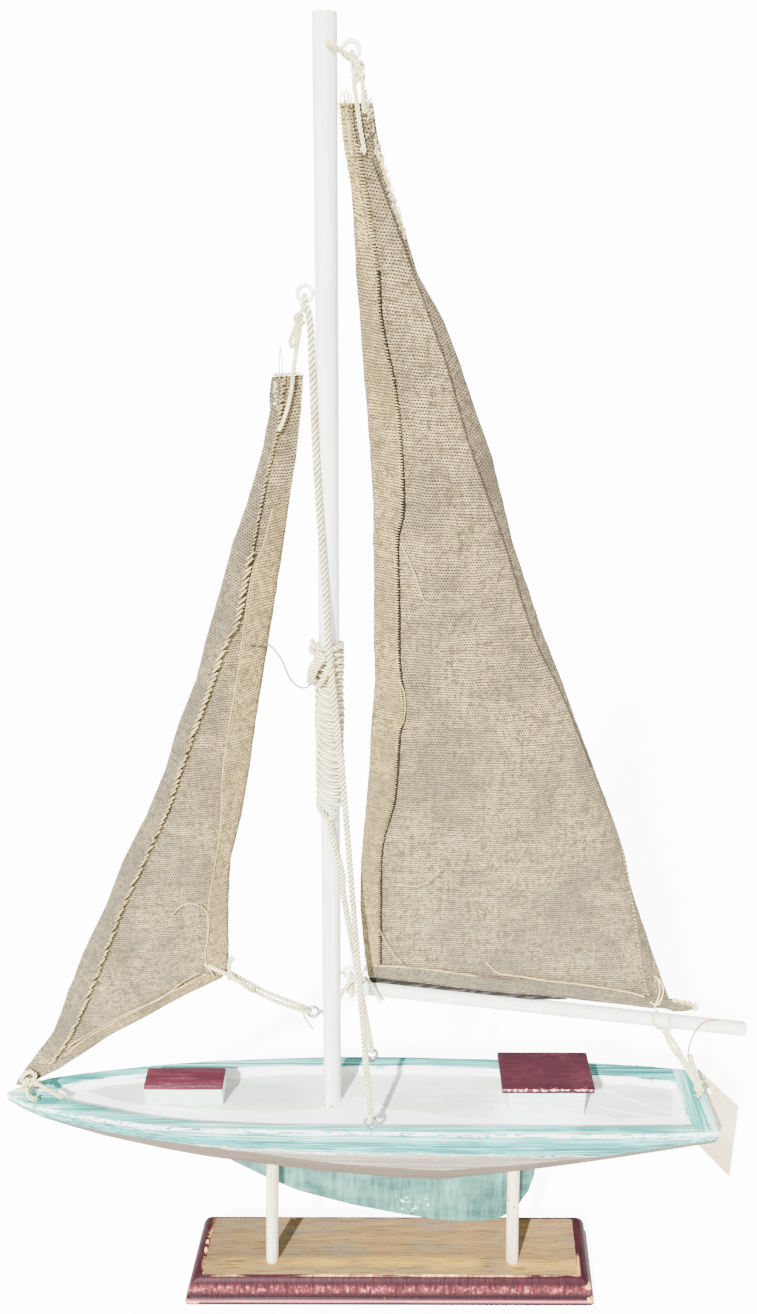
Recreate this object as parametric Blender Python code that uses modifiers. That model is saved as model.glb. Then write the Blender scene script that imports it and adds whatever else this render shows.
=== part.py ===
"""Decorative wooden sailboat on a moulded plinth.

Frame: origin at the centre of the plinth's underside, +Z up, bow towards -X,
stern towards +X, port side towards -Y. Metres throughout.
"""
import math

import bmesh
import bpy
from mathutils import Matrix, Vector

# ---------------------------------------------------------------- sizes (m)
GAP = 0.0003                 # seat clearance between two touching pieces

# plinth: half length, half width and height of each moulding line
PLINTH_TOP = 0.01535
PLINTH_SKEW = 0.068          # how far the ends run aft for each metre to starboard
PLINTH_LINES = (
    (0.1010, 0.0208, 0.0000),
    (0.1015, 0.0212, 0.0014),
    (0.1012, 0.0210, 0.0028),
    (0.0994, 0.0196, 0.0040),
    (0.0999, 0.0200, 0.0046),
    (0.0998, 0.0200, 0.0075),
    (0.0992, 0.0197, 0.0105),
    (0.0978, 0.0189, 0.0132),
    (0.0955, 0.0176, 0.0149),
    (0.0925, 0.0162, PLINTH_TOP),
)

# stand posts
POST_D = 0.0060
POST_Y = -0.0073
POST_FOOT_X = 0.0600
POST_HEAD_X = 0.0575
POST_SEAT = 0.0080           # depth of the hole in the plinth
POST_HOLD = 0.0060           # depth of the hole in the hull

# hull
RAIL_Z = 0.1160
DECK_Z = 0.1124
CHINE_IN = 0.92              # chine half breadth as a share of the rail's
FLOOR_IN = 0.62              # bottom edge half breadth as a share
KEEL_DROP = 0.0012           # centreline below the bottom edge
EDGE_ROUND = 0.0008          # height of the worn corner along the rail
# station: x, half breadth at the rail, chine height, bottom edge height,
# centreline's drift to starboard
HULL_STATIONS = (
    (-0.1825, 0.0012, 0.1140, 0.1128, 0.0000),
    (-0.1750, 0.0058, 0.1126, 0.1096, 0.0003),
    (-0.1650, 0.0098, 0.1108, 0.1062, 0.0005),
    (-0.1500, 0.0132, 0.1088, 0.1026, 0.0002),
    (-0.1350, 0.0161, 0.1078, 0.0993, -0.0001),
    (-0.1200, 0.0186, 0.1071, 0.0969, -0.0003),
    (-0.1070, 0.0205, 0.1063, 0.0945, -0.0004),
    (-0.0880, 0.0220, 0.1042, 0.0906, -0.0001),
    (-0.0600, 0.0231, 0.0998, 0.0859, 0.0005),
    (-0.0280, 0.0242, 0.0950, 0.0812, 0.0009),
    (0.0000, 0.0244, 0.0927, 0.0784, 0.0007),
    (0.0220, 0.0243, 0.0917, 0.0779, 0.0001),
    (0.0460, 0.0241, 0.0942, 0.0816, -0.0004),
    (0.0670, 0.0238, 0.0972, 0.0855, -0.0010),
    (0.0860, 0.0234, 0.1001, 0.0893, -0.0016),
    (0.1010, 0.0230, 0.1025, 0.0925, -0.0020),
    (0.1230, 0.0219, 0.1064, 0.0971, -0.0026),
    (0.1480, 0.0198, 0.1104, 0.1022, -0.0035),
)
# deck recess: x, port edge, starboard edge, closed square at the stern
RECESS_EDGES = (
    (-0.1608, 0.0006, 0.0024),
    (-0.1560, -0.0028, 0.0052),
    (-0.1500, -0.0046, 0.0070),
    (-0.1440, -0.0062, 0.0083),
    (-0.1350, -0.0082, 0.0099),
    (-0.1250, -0.0108, 0.0116),
    (-0.1150, -0.0129, 0.0129),
    (-0.1040, -0.0147, 0.0141),
    (-0.0890, -0.0164, 0.0153),
    (-0.0560, -0.0182, 0.0170),
    (-0.0110, -0.0186, 0.0179),
    (0.0280, -0.0186, 0.0168),
    (0.0660, -0.0186, 0.0147),
    (0.1000, -0.0186, 0.0121),
    (0.1230, -0.0183, 0.0099),
    (0.1353, -0.0180, 0.0080),
)

# keel fin: thin board, side outline x, z below the hull
FIN_T = 0.0050
FIN_TENON = 0.0030
FIN_EDGE = (
    (-0.0935, 0.0868),
    (-0.0745, 0.0733),
    (-0.0600, 0.0637),
    (-0.0457, 0.0557),
    (-0.0200, 0.0466),
    (0.0038, 0.0405),
    (0.0200, 0.0373),
    (0.0325, 0.0357),
    (0.0430, 0.0357),
    (0.0524, 0.0374),
    (0.0584, 0.0416),
    (0.0630, 0.0482),
    (0.0667, 0.0562),
    (0.0688, 0.0652),
    (0.0698, 0.0770),
)

# deckhouses: aft and fore end, port and starboard side, wall height, roof
# thickness, roof overhang along and across, roof's edge rounding
HOUSES = (
    {"name": "fore_house", "x": (-0.1163, -0.0800), "y": (-0.0041, 0.0071),
     "wall": 0.0090, "roof": 0.0026, "over": (0.0003, 0.0003), "bevel": 0.0009},
    {"name": "aft_house", "x": (0.0530, 0.0884), "y": (-0.0104, 0.0100),
     "wall": 0.0150, "roof": 0.0026, "over": (0.0036, 0.0019), "bevel": 0.0006},
)
HOUSE_EDGE = 0.0003

# mast and boom
MAST_D = 0.0080
MAST_TOP = 0.5610
MAST_FOOT_X = -0.0288        # mast centre at the deck
MAST_LEAN = 0.0080           # run aft per height
MAST_SEAT = 0.0130           # depth of the mast's hole under the deck
BOOM_D = 0.0064
BOOM_CLEAR = 0.0027          # from the mast's surface to the boom's fore end
BOOM_FORE_Z = 0.1793
BOOM_AFT_X = 0.1603
BOOM_AFT_Z = 0.1551

# screw eyes
WIRE_D = 0.0015
RING_R = 0.0026              # to the middle of the wire
SHANK_IN = 0.0030            # length of shank inside the wood
NECK = 0.0006                # from the ring's wire to where the shank starts
EYE_HOLE_D = WIRE_D + 2 * GAP
MASTHEAD_DROP = 0.0107       # masthead ring below the mast's top
HALYARD_Z = 0.4760
JIB_SHEET_Z = 0.1644
GOOSENECK_Z = 0.1866
# on the mast: name, ring centre's height, side (+1 aft, -1 fore), distance
# from the mast's surface
MAST_EYES = (
    ("eye_masthead", MAST_TOP - MASTHEAD_DROP, 1, 0.0045),
    ("eye_jib_halyard", HALYARD_Z, -1, 0.0036),
    ("eye_jib_sheet", JIB_SHEET_Z, -1, 0.0046),
    ("eye_gooseneck", GOOSENECK_Z, 1, 0.0042),
)
EYE_RISE = 0.0038            # ring centre above the rail
# on the hull: name, x, y
HULL_EYES = (
    ("eye_rail_port", -0.0107, -0.0212),
    ("eye_rail_starboard", -0.0104, 0.0220),
    ("eye_stern", 0.1440, -0.0010),
    ("eye_bow", -0.1720, 0.0),
)

# ropes and cords
ROPE_D = 0.0024
CORD_D = 0.0015
THREAD_D = 0.0008
STRAND_Y = 0.0019            # offset of a doubled cord's strands from the middle
GRIP_Y = 0.0016              # the same where the strands hold a sail's corner
CLEW_GRIP_Y = 0.0021
TOUCH = 0.0003               # slack between a rope and what it lies against
WHIP_TOP = 0.3468
WHIP_BOTTOM = 0.2711
WHIP_TURNS = 24
WHIP_T = 0.0017              # thickness of the flattened turns
# rope round the mast: share of the run, turn in degrees (0 aft, 270 port)
PORT_UPPER = ((0.085, 182), (0.279, 202), (0.472, 222), (0.666, 243), (0.820, 258))
PORT_OVER = ((0.057, 272), (0.354, 290), (0.618, 306), (0.830, 321))
STAR_LOWER = ((0.108, 278), (0.250, 305), (0.392, 338), (0.534, 8))

# sails from head to foot: luff x, luff height, leech x, leech height, with the
# heights as shares of the rise from the lowest corner to the head
CLOTH_T = 0.0010
MAIN_BELLY = 0.0040
MAIN_FOOT_RISE = 0.0504      # main sail's clew above the rail
MAIN_HEAD_DROP = 0.0259      # main sail's head below the mast's top
MAIN_ROWS = (
    (-0.0208, 1.0000, -0.0099, 1.0000),
    (-0.0197, 0.9702, -0.0081, 0.9705),
    (-0.0172, 0.9333, -0.0044, 0.9335),
    (-0.0157, 0.8563, 0.0060, 0.8563),
    (-0.0144, 0.8159, 0.0147, 0.8162),
    (-0.0120, 0.7312, 0.0272, 0.7314),
    (-0.0098, 0.6414, 0.0383, 0.6417),
    (-0.0094, 0.5454, 0.0499, 0.5459),
    (-0.0092, 0.4429, 0.0650, 0.4435),
    (-0.0106, 0.3890, 0.0728, 0.3895),
    (-0.0131, 0.2750, 0.0892, 0.2758),
    (-0.0149, 0.2149, 0.0970, 0.2159),
    (-0.0154, 0.1524, 0.1047, 0.1535),
    (-0.0137, 0.0876, 0.1136, 0.0887),
    (-0.0120, 0.0477, 0.1264, 0.0000),
)
JIB_BELLY = 0.0030
JIB_FOOT_RISE = 0.0092       # jib's lowest corner above the rail
JIB_HEAD_DROP = 0.0277       # jib's head below the halyard eye
JIB_CLEW = 14                # the row that ends at the clew
JIB_ROWS = (
    (-0.0458, 0.9978, -0.0344, 1.0000),
    (-0.0471, 0.9783, -0.0352, 0.9805),
    (-0.0469, 0.9619, -0.0356, 0.9619),
    (-0.0508, 0.9112, -0.0378, 0.9115),
    (-0.0631, 0.8050, -0.0436, 0.8053),
    (-0.0685, 0.7493, -0.0468, 0.7496),
    (-0.0746, 0.6917, -0.0502, 0.6920),
    (-0.0801, 0.6323, -0.0537, 0.6326),
    (-0.0886, 0.5707, -0.0573, 0.5707),
    (-0.0953, 0.5067, -0.0606, 0.5070),
    (-0.1048, 0.4404, -0.0648, 0.4407),
    (-0.1164, 0.3717, -0.0705, 0.3720),
    (-0.1258, 0.3005, -0.0725, 0.3008),
    (-0.1378, 0.2262, -0.0734, 0.2185),
    (-0.1431, 0.1857, -0.0745, 0.1944),
    (-0.1478, 0.1529, -0.0923, 0.1535),
    (-0.1517, 0.1195, -0.1103, 0.1182),
    (-0.1566, 0.0839, -0.1291, 0.0823),
    (-0.1649, 0.0474, -0.1446, 0.0439),
    (-0.1722, 0.0161, -0.1563, 0.0161),
    (-0.1755, 0.0000, -0.1655, 0.0000),
)
HEAD_LAP = 0.0100            # how far the head cord's knot sits down the sail
TACK_LAP = 0.0092
CLEW_LAP = 0.0090
CLEW_GRIP = 0.0086           # from the main sail's clew forward to its lashing
SHEET_GRIP = 0.0044          # from the main sail's clew forward to the sheet
JIB_SHEET_SAG = 0.0025

# swing tag
TAG_W = 0.0283
TAG_H = 0.0425
TAG_T = 0.0006
TAG_OFF = 0.0011             # from the stern to the tag's far top corner
TAG_FAR_Y = 0.0200
TAG_TOP_Z = 0.1130
TAG_TURN = math.radians(25.5)
TAG_LEAN = math.radians(2.0)
TAG_HOLE_IN = 0.0094         # from the top far corner: along, down
TAG_HOLE_DOWN = 0.0065
TAG_HOLE_D = 0.0030

# colours
LOOKS = {
    "paint_aqua": (0.42, 0.66, 0.64, 1.0),
    "paint_burgundy": (0.17, 0.025, 0.045, 1.0),
    "paint_white": (0.80, 0.82, 0.79, 1.0),
    "wood_bare": (0.56, 0.43, 0.24, 1.0),
    "rope_cotton": (0.80, 0.76, 0.62, 1.0),
    "linen": (0.52, 0.46, 0.34, 1.0),
    "card": (0.80, 0.77, 0.70, 1.0),
    "eye_metal": (0.70, 0.71, 0.70, 1.0),
}

# ------------------------------------------------------------------ set-up
for old in list(bpy.data.objects):
    bpy.data.objects.remove(old, do_unlink=True)

boat = bpy.data.collections.new("sailboat")
bpy.context.scene.collection.children.link(boat)
tools = bpy.data.collections.new("cutters")
bpy.context.scene.collection.children.link(tools)


def look(name):
    mat = bpy.data.materials.get(name)
    if mat is None:
        mat = bpy.data.materials.new(name)
        mat.use_nodes = True
        shader = mat.node_tree.nodes["Principled BSDF"]
        shader.inputs["Base Color"].default_value = LOOKS[name]
        shader.inputs["Roughness"].default_value = 0.35 if name == "eye_metal" else 0.7
        shader.inputs["Metallic"].default_value = 1.0 if name == "eye_metal" else 0.0
    return mat


def add(name, data, mat, into=boat):
    obj = bpy.data.objects.new(name, data)
    into.objects.link(obj)
    if mat is not None:
        data.materials.append(look(mat))
    return obj


def shade(obj, degrees=35):
    obj.data.shade_smooth()
    obj.data.set_sharp_from_angle(angle=math.radians(degrees))


def loft(name, rings, mat, into=boat):
    """Closed body through rings of equally many points, ends capped."""
    bm = bmesh.new()
    rows = [[bm.verts.new(p) for p in ring] for ring in rings]
    n = len(rows[0])
    for lower, upper in zip(rows, rows[1:]):
        for i in range(n):
            j = (i + 1) % n
            bm.faces.new((lower[i], lower[j], upper[j], upper[i]))
    bm.faces.new(reversed(rows[0]))
    bm.faces.new(rows[-1])
    bmesh.ops.recalc_face_normals(bm, faces=bm.faces)
    mesh = bpy.data.meshes.new(name)
    bm.to_mesh(mesh)
    bm.free()
    return add(name, mesh, mat, into)


def rod(name, start, end, diameter, mat, sides=24, into=boat):
    """Round bar between two points, placed by location and rotation."""
    start = Vector(start)
    end = Vector(end)
    axis = end - start
    bm = bmesh.new()
    bmesh.ops.create_cone(bm, cap_ends=True, segments=sides, radius1=diameter / 2,
                          radius2=diameter / 2, depth=axis.length)
    mesh = bpy.data.meshes.new(name)
    bm.to_mesh(mesh)
    bm.free()
    obj = add(name, mesh, mat, into)
    obj.location = (start + end) / 2
    obj.rotation_mode = "QUATERNION"
    obj.rotation_quaternion = axis.to_track_quat("Z", "Y")
    return obj


def wire(name, points, diameter, mat, cyclic=False, resolution=2, into=boat):
    curve = bpy.data.curves.new(name, "CURVE")
    curve.dimensions = "3D"
    spline = curve.splines.new("POLY")
    spline.points.add(len(points) - 1)
    for knot, p in zip(spline.points, points):
        knot.co = (p[0], p[1], p[2], 1.0)
    spline.use_cyclic_u = cyclic
    curve.bevel_depth = diameter / 2
    curve.bevel_resolution = resolution
    curve.use_fill_caps = not cyclic
    return add(name, curve, mat, into)


def plate(name, outline, thickness, mat, into=boat):
    """Flat outline drawn in XY, extruded to both sides of its plane."""
    curve = bpy.data.curves.new(name, "CURVE")
    curve.dimensions = "2D"
    curve.fill_mode = "BOTH"
    curve.extrude = thickness / 2
    spline = curve.splines.new("POLY")
    spline.points.add(len(outline) - 1)
    for knot, p in zip(spline.points, outline):
        knot.co = (p[0], p[1], 0.0, 1.0)
    spline.use_cyclic_u = True
    return add(name, curve, mat, into)


def as_mesh(obj):
    """Turn a curve object into a mesh object with the same name and place."""
    bpy.context.view_layer.update()
    graph = bpy.context.evaluated_depsgraph_get()
    mesh = bpy.data.meshes.new_from_object(obj.evaluated_get(graph))
    bm = bmesh.new()
    bm.from_mesh(mesh)
    bmesh.ops.remove_doubles(bm, verts=bm.verts, dist=1e-6)
    bmesh.ops.recalc_face_normals(bm, faces=bm.faces)
    bm.to_mesh(mesh)
    bm.free()
    name = obj.name
    home = obj.users_collection[0]
    place = obj.matrix_world.copy()
    bpy.data.objects.remove(obj, do_unlink=True)
    solid = bpy.data.objects.new(name, mesh)
    home.objects.link(solid)
    solid.matrix_world = place
    return solid


def cut(obj, cutter):
    if cutter.users_collection[0] != tools:
        raise ValueError(cutter.name)
    cutter.display_type = "WIRE"
    cutter.hide_render = True
    mod = obj.modifiers.new("cut_" + cutter.name, "BOOLEAN")
    mod.operation = "DIFFERENCE"
    mod.solver = "EXACT"
    mod.object = cutter


def lerp_table(table, x, column):
    """Value of a column at x in a table sorted by its first column."""
    for a, b in zip(table, table[1:]):
        if a[0] <= x <= b[0]:
            share = (x - a[0]) / (b[0] - a[0])
            return a[column] + share * (b[column] - a[column])
    return table[0][column] if x < table[0][0] else table[-1][column]


def mast_x(z):
    return MAST_FOOT_X + (z - DECK_Z) * MAST_LEAN


# ------------------------------------------------------------------ plinth
rings = []
for half_l, half_w, z in PLINTH_LINES:
    run = half_w * PLINTH_SKEW
    port_edge = [(-half_l - run, -half_w, z), (half_l - run, -half_w, z)]
    star_edge = [(half_l + run, half_w, z), (-half_l + run, half_w, z)]
    rings.append(port_edge + star_edge)
plinth = loft("plinth", rings, "wood_bare")
shade(plinth, 30)

# ------------------------------------------------------------- stand posts
for name, side in (("stand_post_fore", -1), ("stand_post_aft", 1)):
    foot = Vector((side * POST_FOOT_X, POST_Y, PLINTH_TOP))
    head_z = lerp_table(HULL_STATIONS, side * POST_HEAD_X, 3)
    head = Vector((side * POST_HEAD_X, POST_Y, head_z))
    line = (head - foot).normalized()
    low = foot - line * POST_SEAT
    high = head + line * POST_HOLD
    post = rod(name, low, high, POST_D, "paint_white")
    shade(post)
    bore = rod(name + "_bore", low - line * GAP, high + line * GAP, POST_D + 2 * GAP, None, into=tools)
    cut(plinth, bore)

# -------------------------------------------------------------------- hull
rings = []
for x, half, chine_z, floor_z, drift in HULL_STATIONS:
    side_mid = (RAIL_Z + chine_z) / 2
    port = [
        (half * 0.35, floor_z - KEEL_DROP * 0.65),
        (half * FLOOR_IN, floor_z),
        (half * 0.80, (floor_z + chine_z) / 2),
        (half * CHINE_IN, chine_z),
        (half * 0.985, side_mid),
        (half, RAIL_Z - EDGE_ROUND * min(1.0, half / POST_D)),
        (half * 0.975, RAIL_Z),
    ]
    ring = [(x, drift, floor_z - KEEL_DROP)]
    ring += [(x, drift - y, z) for y, z in port]
    ring += [(x, drift + y, z) for y, z in reversed(port)]
    rings.append(ring)
hull = loft("hull", rings, "paint_aqua")
shade(hull, 32)

edge = [(x, port) for x, port, starboard in RECESS_EDGES]
edge += [(x, starboard) for x, port, starboard in reversed(RECESS_EDGES)]
over_rail = RAIL_Z + (RAIL_Z - DECK_Z)
recess = loft("recess", [[(x, y, z) for x, y in edge] for z in (DECK_Z, over_rail)], None, tools)
cut(hull, recess)

for side, name in ((-1, "stand_post_fore"), (1, "stand_post_aft")):
    cut(hull, bpy.data.objects[name + "_bore"])

# ---------------------------------------------------------------- keel fin
def fin_outline(grow):
    top = []
    fore = FIN_EDGE[0][0] - grow
    aft = FIN_EDGE[-1][0] + grow
    steps = 8
    for i in range(steps + 1):
        x = aft + (fore - aft) * i / steps
        z = lerp_table(HULL_STATIONS, x, 3) - KEEL_DROP + FIN_TENON + grow
        top.append((x, z))
    low = [(x, z) for x, z in FIN_EDGE]
    low[0] = (fore, low[0][1])
    low[-1] = (aft, low[-1][1])
    return low + top


fin = plate("keel_fin", fin_outline(0.0), FIN_T, "paint_aqua")
fin.rotation_euler = (math.radians(90), 0.0, 0.0)
slot = plate("fin_slot", fin_outline(GAP), FIN_T + 2 * GAP, None, into=tools)
slot.rotation_euler = (math.radians(90), 0.0, 0.0)
cut(hull, as_mesh(slot))

# -------------------------------------------------------------- deckhouses
for house in HOUSES:
    x0, x1 = house["x"]
    y0, y1 = house["y"]
    base = DECK_Z + GAP
    top = base + house["wall"]
    bm = bmesh.new()
    bmesh.ops.create_cube(bm, size=1.0)
    bmesh.ops.scale(bm, vec=(x1 - x0, y1 - y0, house["wall"]), verts=bm.verts)
    mesh = bpy.data.meshes.new(house["name"])
    bm.to_mesh(mesh)
    bm.free()
    walls = add(house["name"], mesh, "paint_white")
    walls.location = ((x0 + x1) / 2, (y0 + y1) / 2, (base + top) / 2)
    edge = walls.modifiers.new("edge", "BEVEL")
    edge.width = HOUSE_EDGE
    edge.segments = 1
    along, across = house["over"]
    bm = bmesh.new()
    bmesh.ops.create_cube(bm, size=1.0)
    bmesh.ops.scale(bm, vec=(x1 - x0 + 2 * along, y1 - y0 + 2 * across, house["roof"]), verts=bm.verts)
    mesh = bpy.data.meshes.new(house["name"] + "_roof")
    bm.to_mesh(mesh)
    bm.free()
    roof = add(house["name"] + "_roof", mesh, "paint_burgundy")
    roof.location = ((x0 + x1) / 2, (y0 + y1) / 2, top + GAP + house["roof"] / 2)
    edge = roof.modifiers.new("edge", "BEVEL")
    edge.width = house["bevel"]
    edge.segments = 2

# -------------------------------------------------------------------- mast
foot_z = DECK_Z - MAST_SEAT
mast_low = Vector((mast_x(foot_z), 0.0, foot_z))
mast_high = Vector((mast_x(MAST_TOP), 0.0, MAST_TOP))
mast_line = (mast_high - mast_low).normalized()
mast = rod("mast", mast_low, mast_high, MAST_D, "paint_white")
shade(mast)
step = rod("mast_bore", mast_low - mast_line * GAP, mast_high, MAST_D + 2 * GAP, None, into=tools)
cut(hull, step)

# -------------------------------------------------------------------- boom
boom_fore = Vector((mast_x(BOOM_FORE_Z) + MAST_D / 2 + BOOM_CLEAR, 0.0, BOOM_FORE_Z))
boom_aft = Vector((BOOM_AFT_X, 0.0, BOOM_AFT_Z))
boom = rod("boom", boom_fore, boom_aft, BOOM_D, "paint_white")
shade(boom)

# -------------------------------------------------------------- screw eyes
RING_POINTS = 14
RING_OPEN = 24 / 360         # share of the ring left open
EYE_SIDES = 12
ring_at = {}


def screw_eye(name, centre, to, face, host):
    """Open wire ring whose shank runs along "to" into a hole in its host."""
    ring_at[name] = centre
    across = Vector((0, 1, 0)).cross(to)
    loop = []
    for k in range(1, RING_POINTS + 1):
        a = 2 * math.pi * (1 - RING_OPEN) * k / RING_POINTS
        loop.append(centre + to * (RING_R * math.cos(a)) + across * (RING_R * math.sin(a)))
    tip = centre + to * (face + SHANK_IN)
    wire(name, [tip, centre + to * (RING_R + NECK)] + loop, WIRE_D, "eye_metal")
    mouth = centre + to * (face - WIRE_D / 3)
    hole = rod(name + "_hole", mouth, tip + to * GAP, EYE_HOLE_D, None, sides=EYE_SIDES, into=tools)
    cut(host, hole)


for name, z, side, off in MAST_EYES:
    centre = Vector((mast_x(z) + side * (MAST_D / 2 + off), 0.0, z))
    screw_eye(name, centre, Vector((-side, 0, 0)), off, mast)
for name, x, y in HULL_EYES:
    screw_eye(name, Vector((x, y, RAIL_Z + EYE_RISE)), Vector((0, 0, -1)), EYE_RISE, hull)

# ------------------------------------------------------------ mast whipping
# a sleeve with one rounded rib for each turn of rope, turned about the mast
pitch = (WHIP_TOP - WHIP_BOTTOM) / WHIP_TURNS
inner = MAST_D / 2 + GAP
valley = inner + WHIP_T * 0.62
profile = [(inner, WHIP_TOP)]
for k in range(WHIP_TURNS):
    z = WHIP_TOP - k * pitch
    profile.append((valley, z - pitch * 0.04))
    profile.append((inner + WHIP_T, z - pitch * 0.5))
profile.append((valley, WHIP_BOTTOM + pitch * 0.04))
profile.append((inner, WHIP_BOTTOM))
WHIP_SIDES = 16
centre_z = (WHIP_TOP + WHIP_BOTTOM) / 2
bm = bmesh.new()
columns = []
for s in range(WHIP_SIDES):
    a = 2 * math.pi * s / WHIP_SIDES
    columns.append([bm.verts.new((r * math.cos(a), r * math.sin(a), z - centre_z)) for r, z in profile])
for s in range(WHIP_SIDES):
    here = columns[s]
    there = columns[(s + 1) % WHIP_SIDES]
    for i in range(len(profile)):
        j = (i + 1) % len(profile)
        bm.faces.new((here[i], here[j], there[j], there[i]))
bmesh.ops.recalc_face_normals(bm, faces=bm.faces)
mesh = bpy.data.meshes.new("mast_whipping")
bm.to_mesh(mesh)
bm.free()
whipping = add("mast_whipping", mesh, "rope_cotton")
whipping.location = (mast_x(centre_z), 0.0, centre_z)
whipping.rotation_euler = (0.0, math.atan(MAST_LEAN), 0.0)
shade(whipping, 60)


# ----------------------------------------------------------------- shrouds
def round_mast(z, degrees, clear):
    """Point on a rope that lies against the mast; 0 degrees is aft, 270 port."""
    reach = MAST_D / 2 + clear + GAP + ROPE_D / 2
    a = math.radians(degrees)
    return Vector((mast_x(z) + reach * math.cos(a), reach * math.sin(a), z))


def below(eye, drop, shift=0.0):
    p = ring_at[eye]
    return Vector((p.x + shift, p.y, p.z - RING_R - WIRE_D / 2 - GAP - drop))


def above(eye, rise):
    p = ring_at[eye]
    return Vector((p.x, p.y, p.z + RING_R + WIRE_D / 2 + GAP + rise))


def along(z_from, z_to, turns, clear):
    return [round_mast(z_from + (z_to - z_from) * share, degrees, clear) for share, degrees in turns]


port_rope = [below("eye_jib_halyard", ROPE_D / 2, -ROPE_D / 6)]
port_rope += along(HALYARD_Z, WHIP_TOP, PORT_UPPER[:1], ROPE_D / 3)
port_rope += along(HALYARD_Z, WHIP_TOP, PORT_UPPER[1:], TOUCH)
port_rope.append(round_mast(WHIP_TOP + 2 * ROPE_D, 268, WHIP_T + TOUCH))
port_rope += along(WHIP_TOP, WHIP_BOTTOM, PORT_OVER, WHIP_T + TOUCH)
port_rope.append(above("eye_rail_port", ROPE_D / 2))
wire("shroud_port", port_rope, ROPE_D, "rope_cotton")

star_rope = [round_mast(WHIP_BOTTOM - GAP - ROPE_D / 2, 262, TOUCH)]
star_rope += along(WHIP_BOTTOM, GOOSENECK_Z, STAR_LOWER, TOUCH)
star_rope.append(above("eye_rail_starboard", ROPE_D / 2))
wire("shroud_starboard", star_rope, ROPE_D, "rope_cotton")


# ------------------------------------------------------------------- sails
def heights(rows, foot_z, head_z):
    """Rows with their height shares turned into heights."""
    rise = head_z - foot_z
    return [(a, foot_z + rise * b, c, foot_z + rise * d) for a, b, c, d in rows]


def sail(name, rows, belly, across=8):
    """Cloth between its luff and leech, bellied to port, given thickness."""
    bm = bmesh.new()
    grid = []
    head_z = rows[0][3]
    foot_z = rows[-1][3]
    for luff_x, luff_z, leech_x, leech_z in rows:
        down = (head_z - (luff_z + leech_z) / 2) / (head_z - foot_z)
        down = min(1.0, max(0.0, down))
        line = []
        for k in range(across + 1):
            share = k / across
            x = luff_x + share * (leech_x - luff_x)
            z = luff_z + share * (leech_z - luff_z)
            full = math.sin(math.pi * share) * math.sin(math.pi * down)
            line.append(bm.verts.new((x, -belly * full, z)))
        grid.append(line)
    for a, b in zip(grid, grid[1:]):
        for k in range(across):
            bm.faces.new((a[k], b[k], b[k + 1], a[k + 1]))
    bmesh.ops.recalc_face_normals(bm, faces=bm.faces)
    mesh = bpy.data.meshes.new(name)
    bm.to_mesh(mesh)
    bm.free()
    cloth = add(name, mesh, "linen")
    thick = cloth.modifiers.new("cloth", "SOLIDIFY")
    thick.thickness = CLOTH_T
    thick.offset = 0.0
    thick.use_even_offset = True
    shade(cloth, 50)
    return cloth


def head_of(rows, lap):
    """Point in the cloth a little below the middle of a sail's head."""
    luff_x, luff_z, leech_x, leech_z = rows[0]
    return Vector(((luff_x + leech_x) / 2, 0.0, (luff_z + leech_z) / 2 - lap))


main_rows = heights(MAIN_ROWS, RAIL_Z + MAIN_FOOT_RISE, MAST_TOP - MAIN_HEAD_DROP)
jib_rows = heights(JIB_ROWS, RAIL_Z + JIB_FOOT_RISE, HALYARD_Z - JIB_HEAD_DROP)
main_sail = sail("main_sail", main_rows, MAIN_BELLY)
jib = sail("jib", jib_rows, JIB_BELLY)


# ---------------------------------------------------------- cords and knots
def hitch(name, eye, end, sag=0.0, end_y=GRIP_Y):
    """Doubled cord: up one side, through the eye's ring and down the other."""
    ring = ring_at[eye]
    end = Vector(end)
    line = (end - ring).normalized()
    turn = []
    for k in range(7):
        a = math.pi * k / 6
        turn.append(ring + line * (STRAND_Y * (1 - math.sin(a))) + Vector((0, -STRAND_Y * math.cos(a), 0)))
    leg = []
    for k in range(1, 7):
        share = k / 6
        base = ring.lerp(end, share)
        y = STRAND_Y + (end_y - STRAND_Y) * share
        leg.append((base.x, y, base.z - sag * math.sin(math.pi * share)))
    port_leg = [Vector((x, -y, z)) for x, y, z in reversed(leg)]
    star_leg = [Vector((x, y, z)) for x, y, z in leg]
    return wire(name, port_leg + turn + star_leg, CORD_D, "rope_cotton")


head_cord = hitch("main_head_cord", "eye_masthead", head_of(main_rows, HEAD_LAP), end_y=STRAND_Y)
hitch("jib_head_cord", "eye_jib_halyard", head_of(jib_rows, HEAD_LAP))
tack = Vector(((jib_rows[-1][0] + jib_rows[-1][2]) / 2, 0.0, jib_rows[-1][1] + TACK_LAP))
hitch("jib_tack_cord", "eye_bow", tack)
clew = Vector((jib_rows[JIB_CLEW][2] - CLEW_LAP, 0.0, jib_rows[JIB_CLEW][3]))
hitch("jib_sheet", "eye_jib_sheet", clew, sag=JIB_SHEET_SAG, end_y=CLEW_GRIP_Y)

boom_line = (boom_aft - boom_fore).normalized()


def boom_point(x):
    return boom_fore + boom_line * ((x - boom_fore.x) / boom_line.x)


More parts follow.
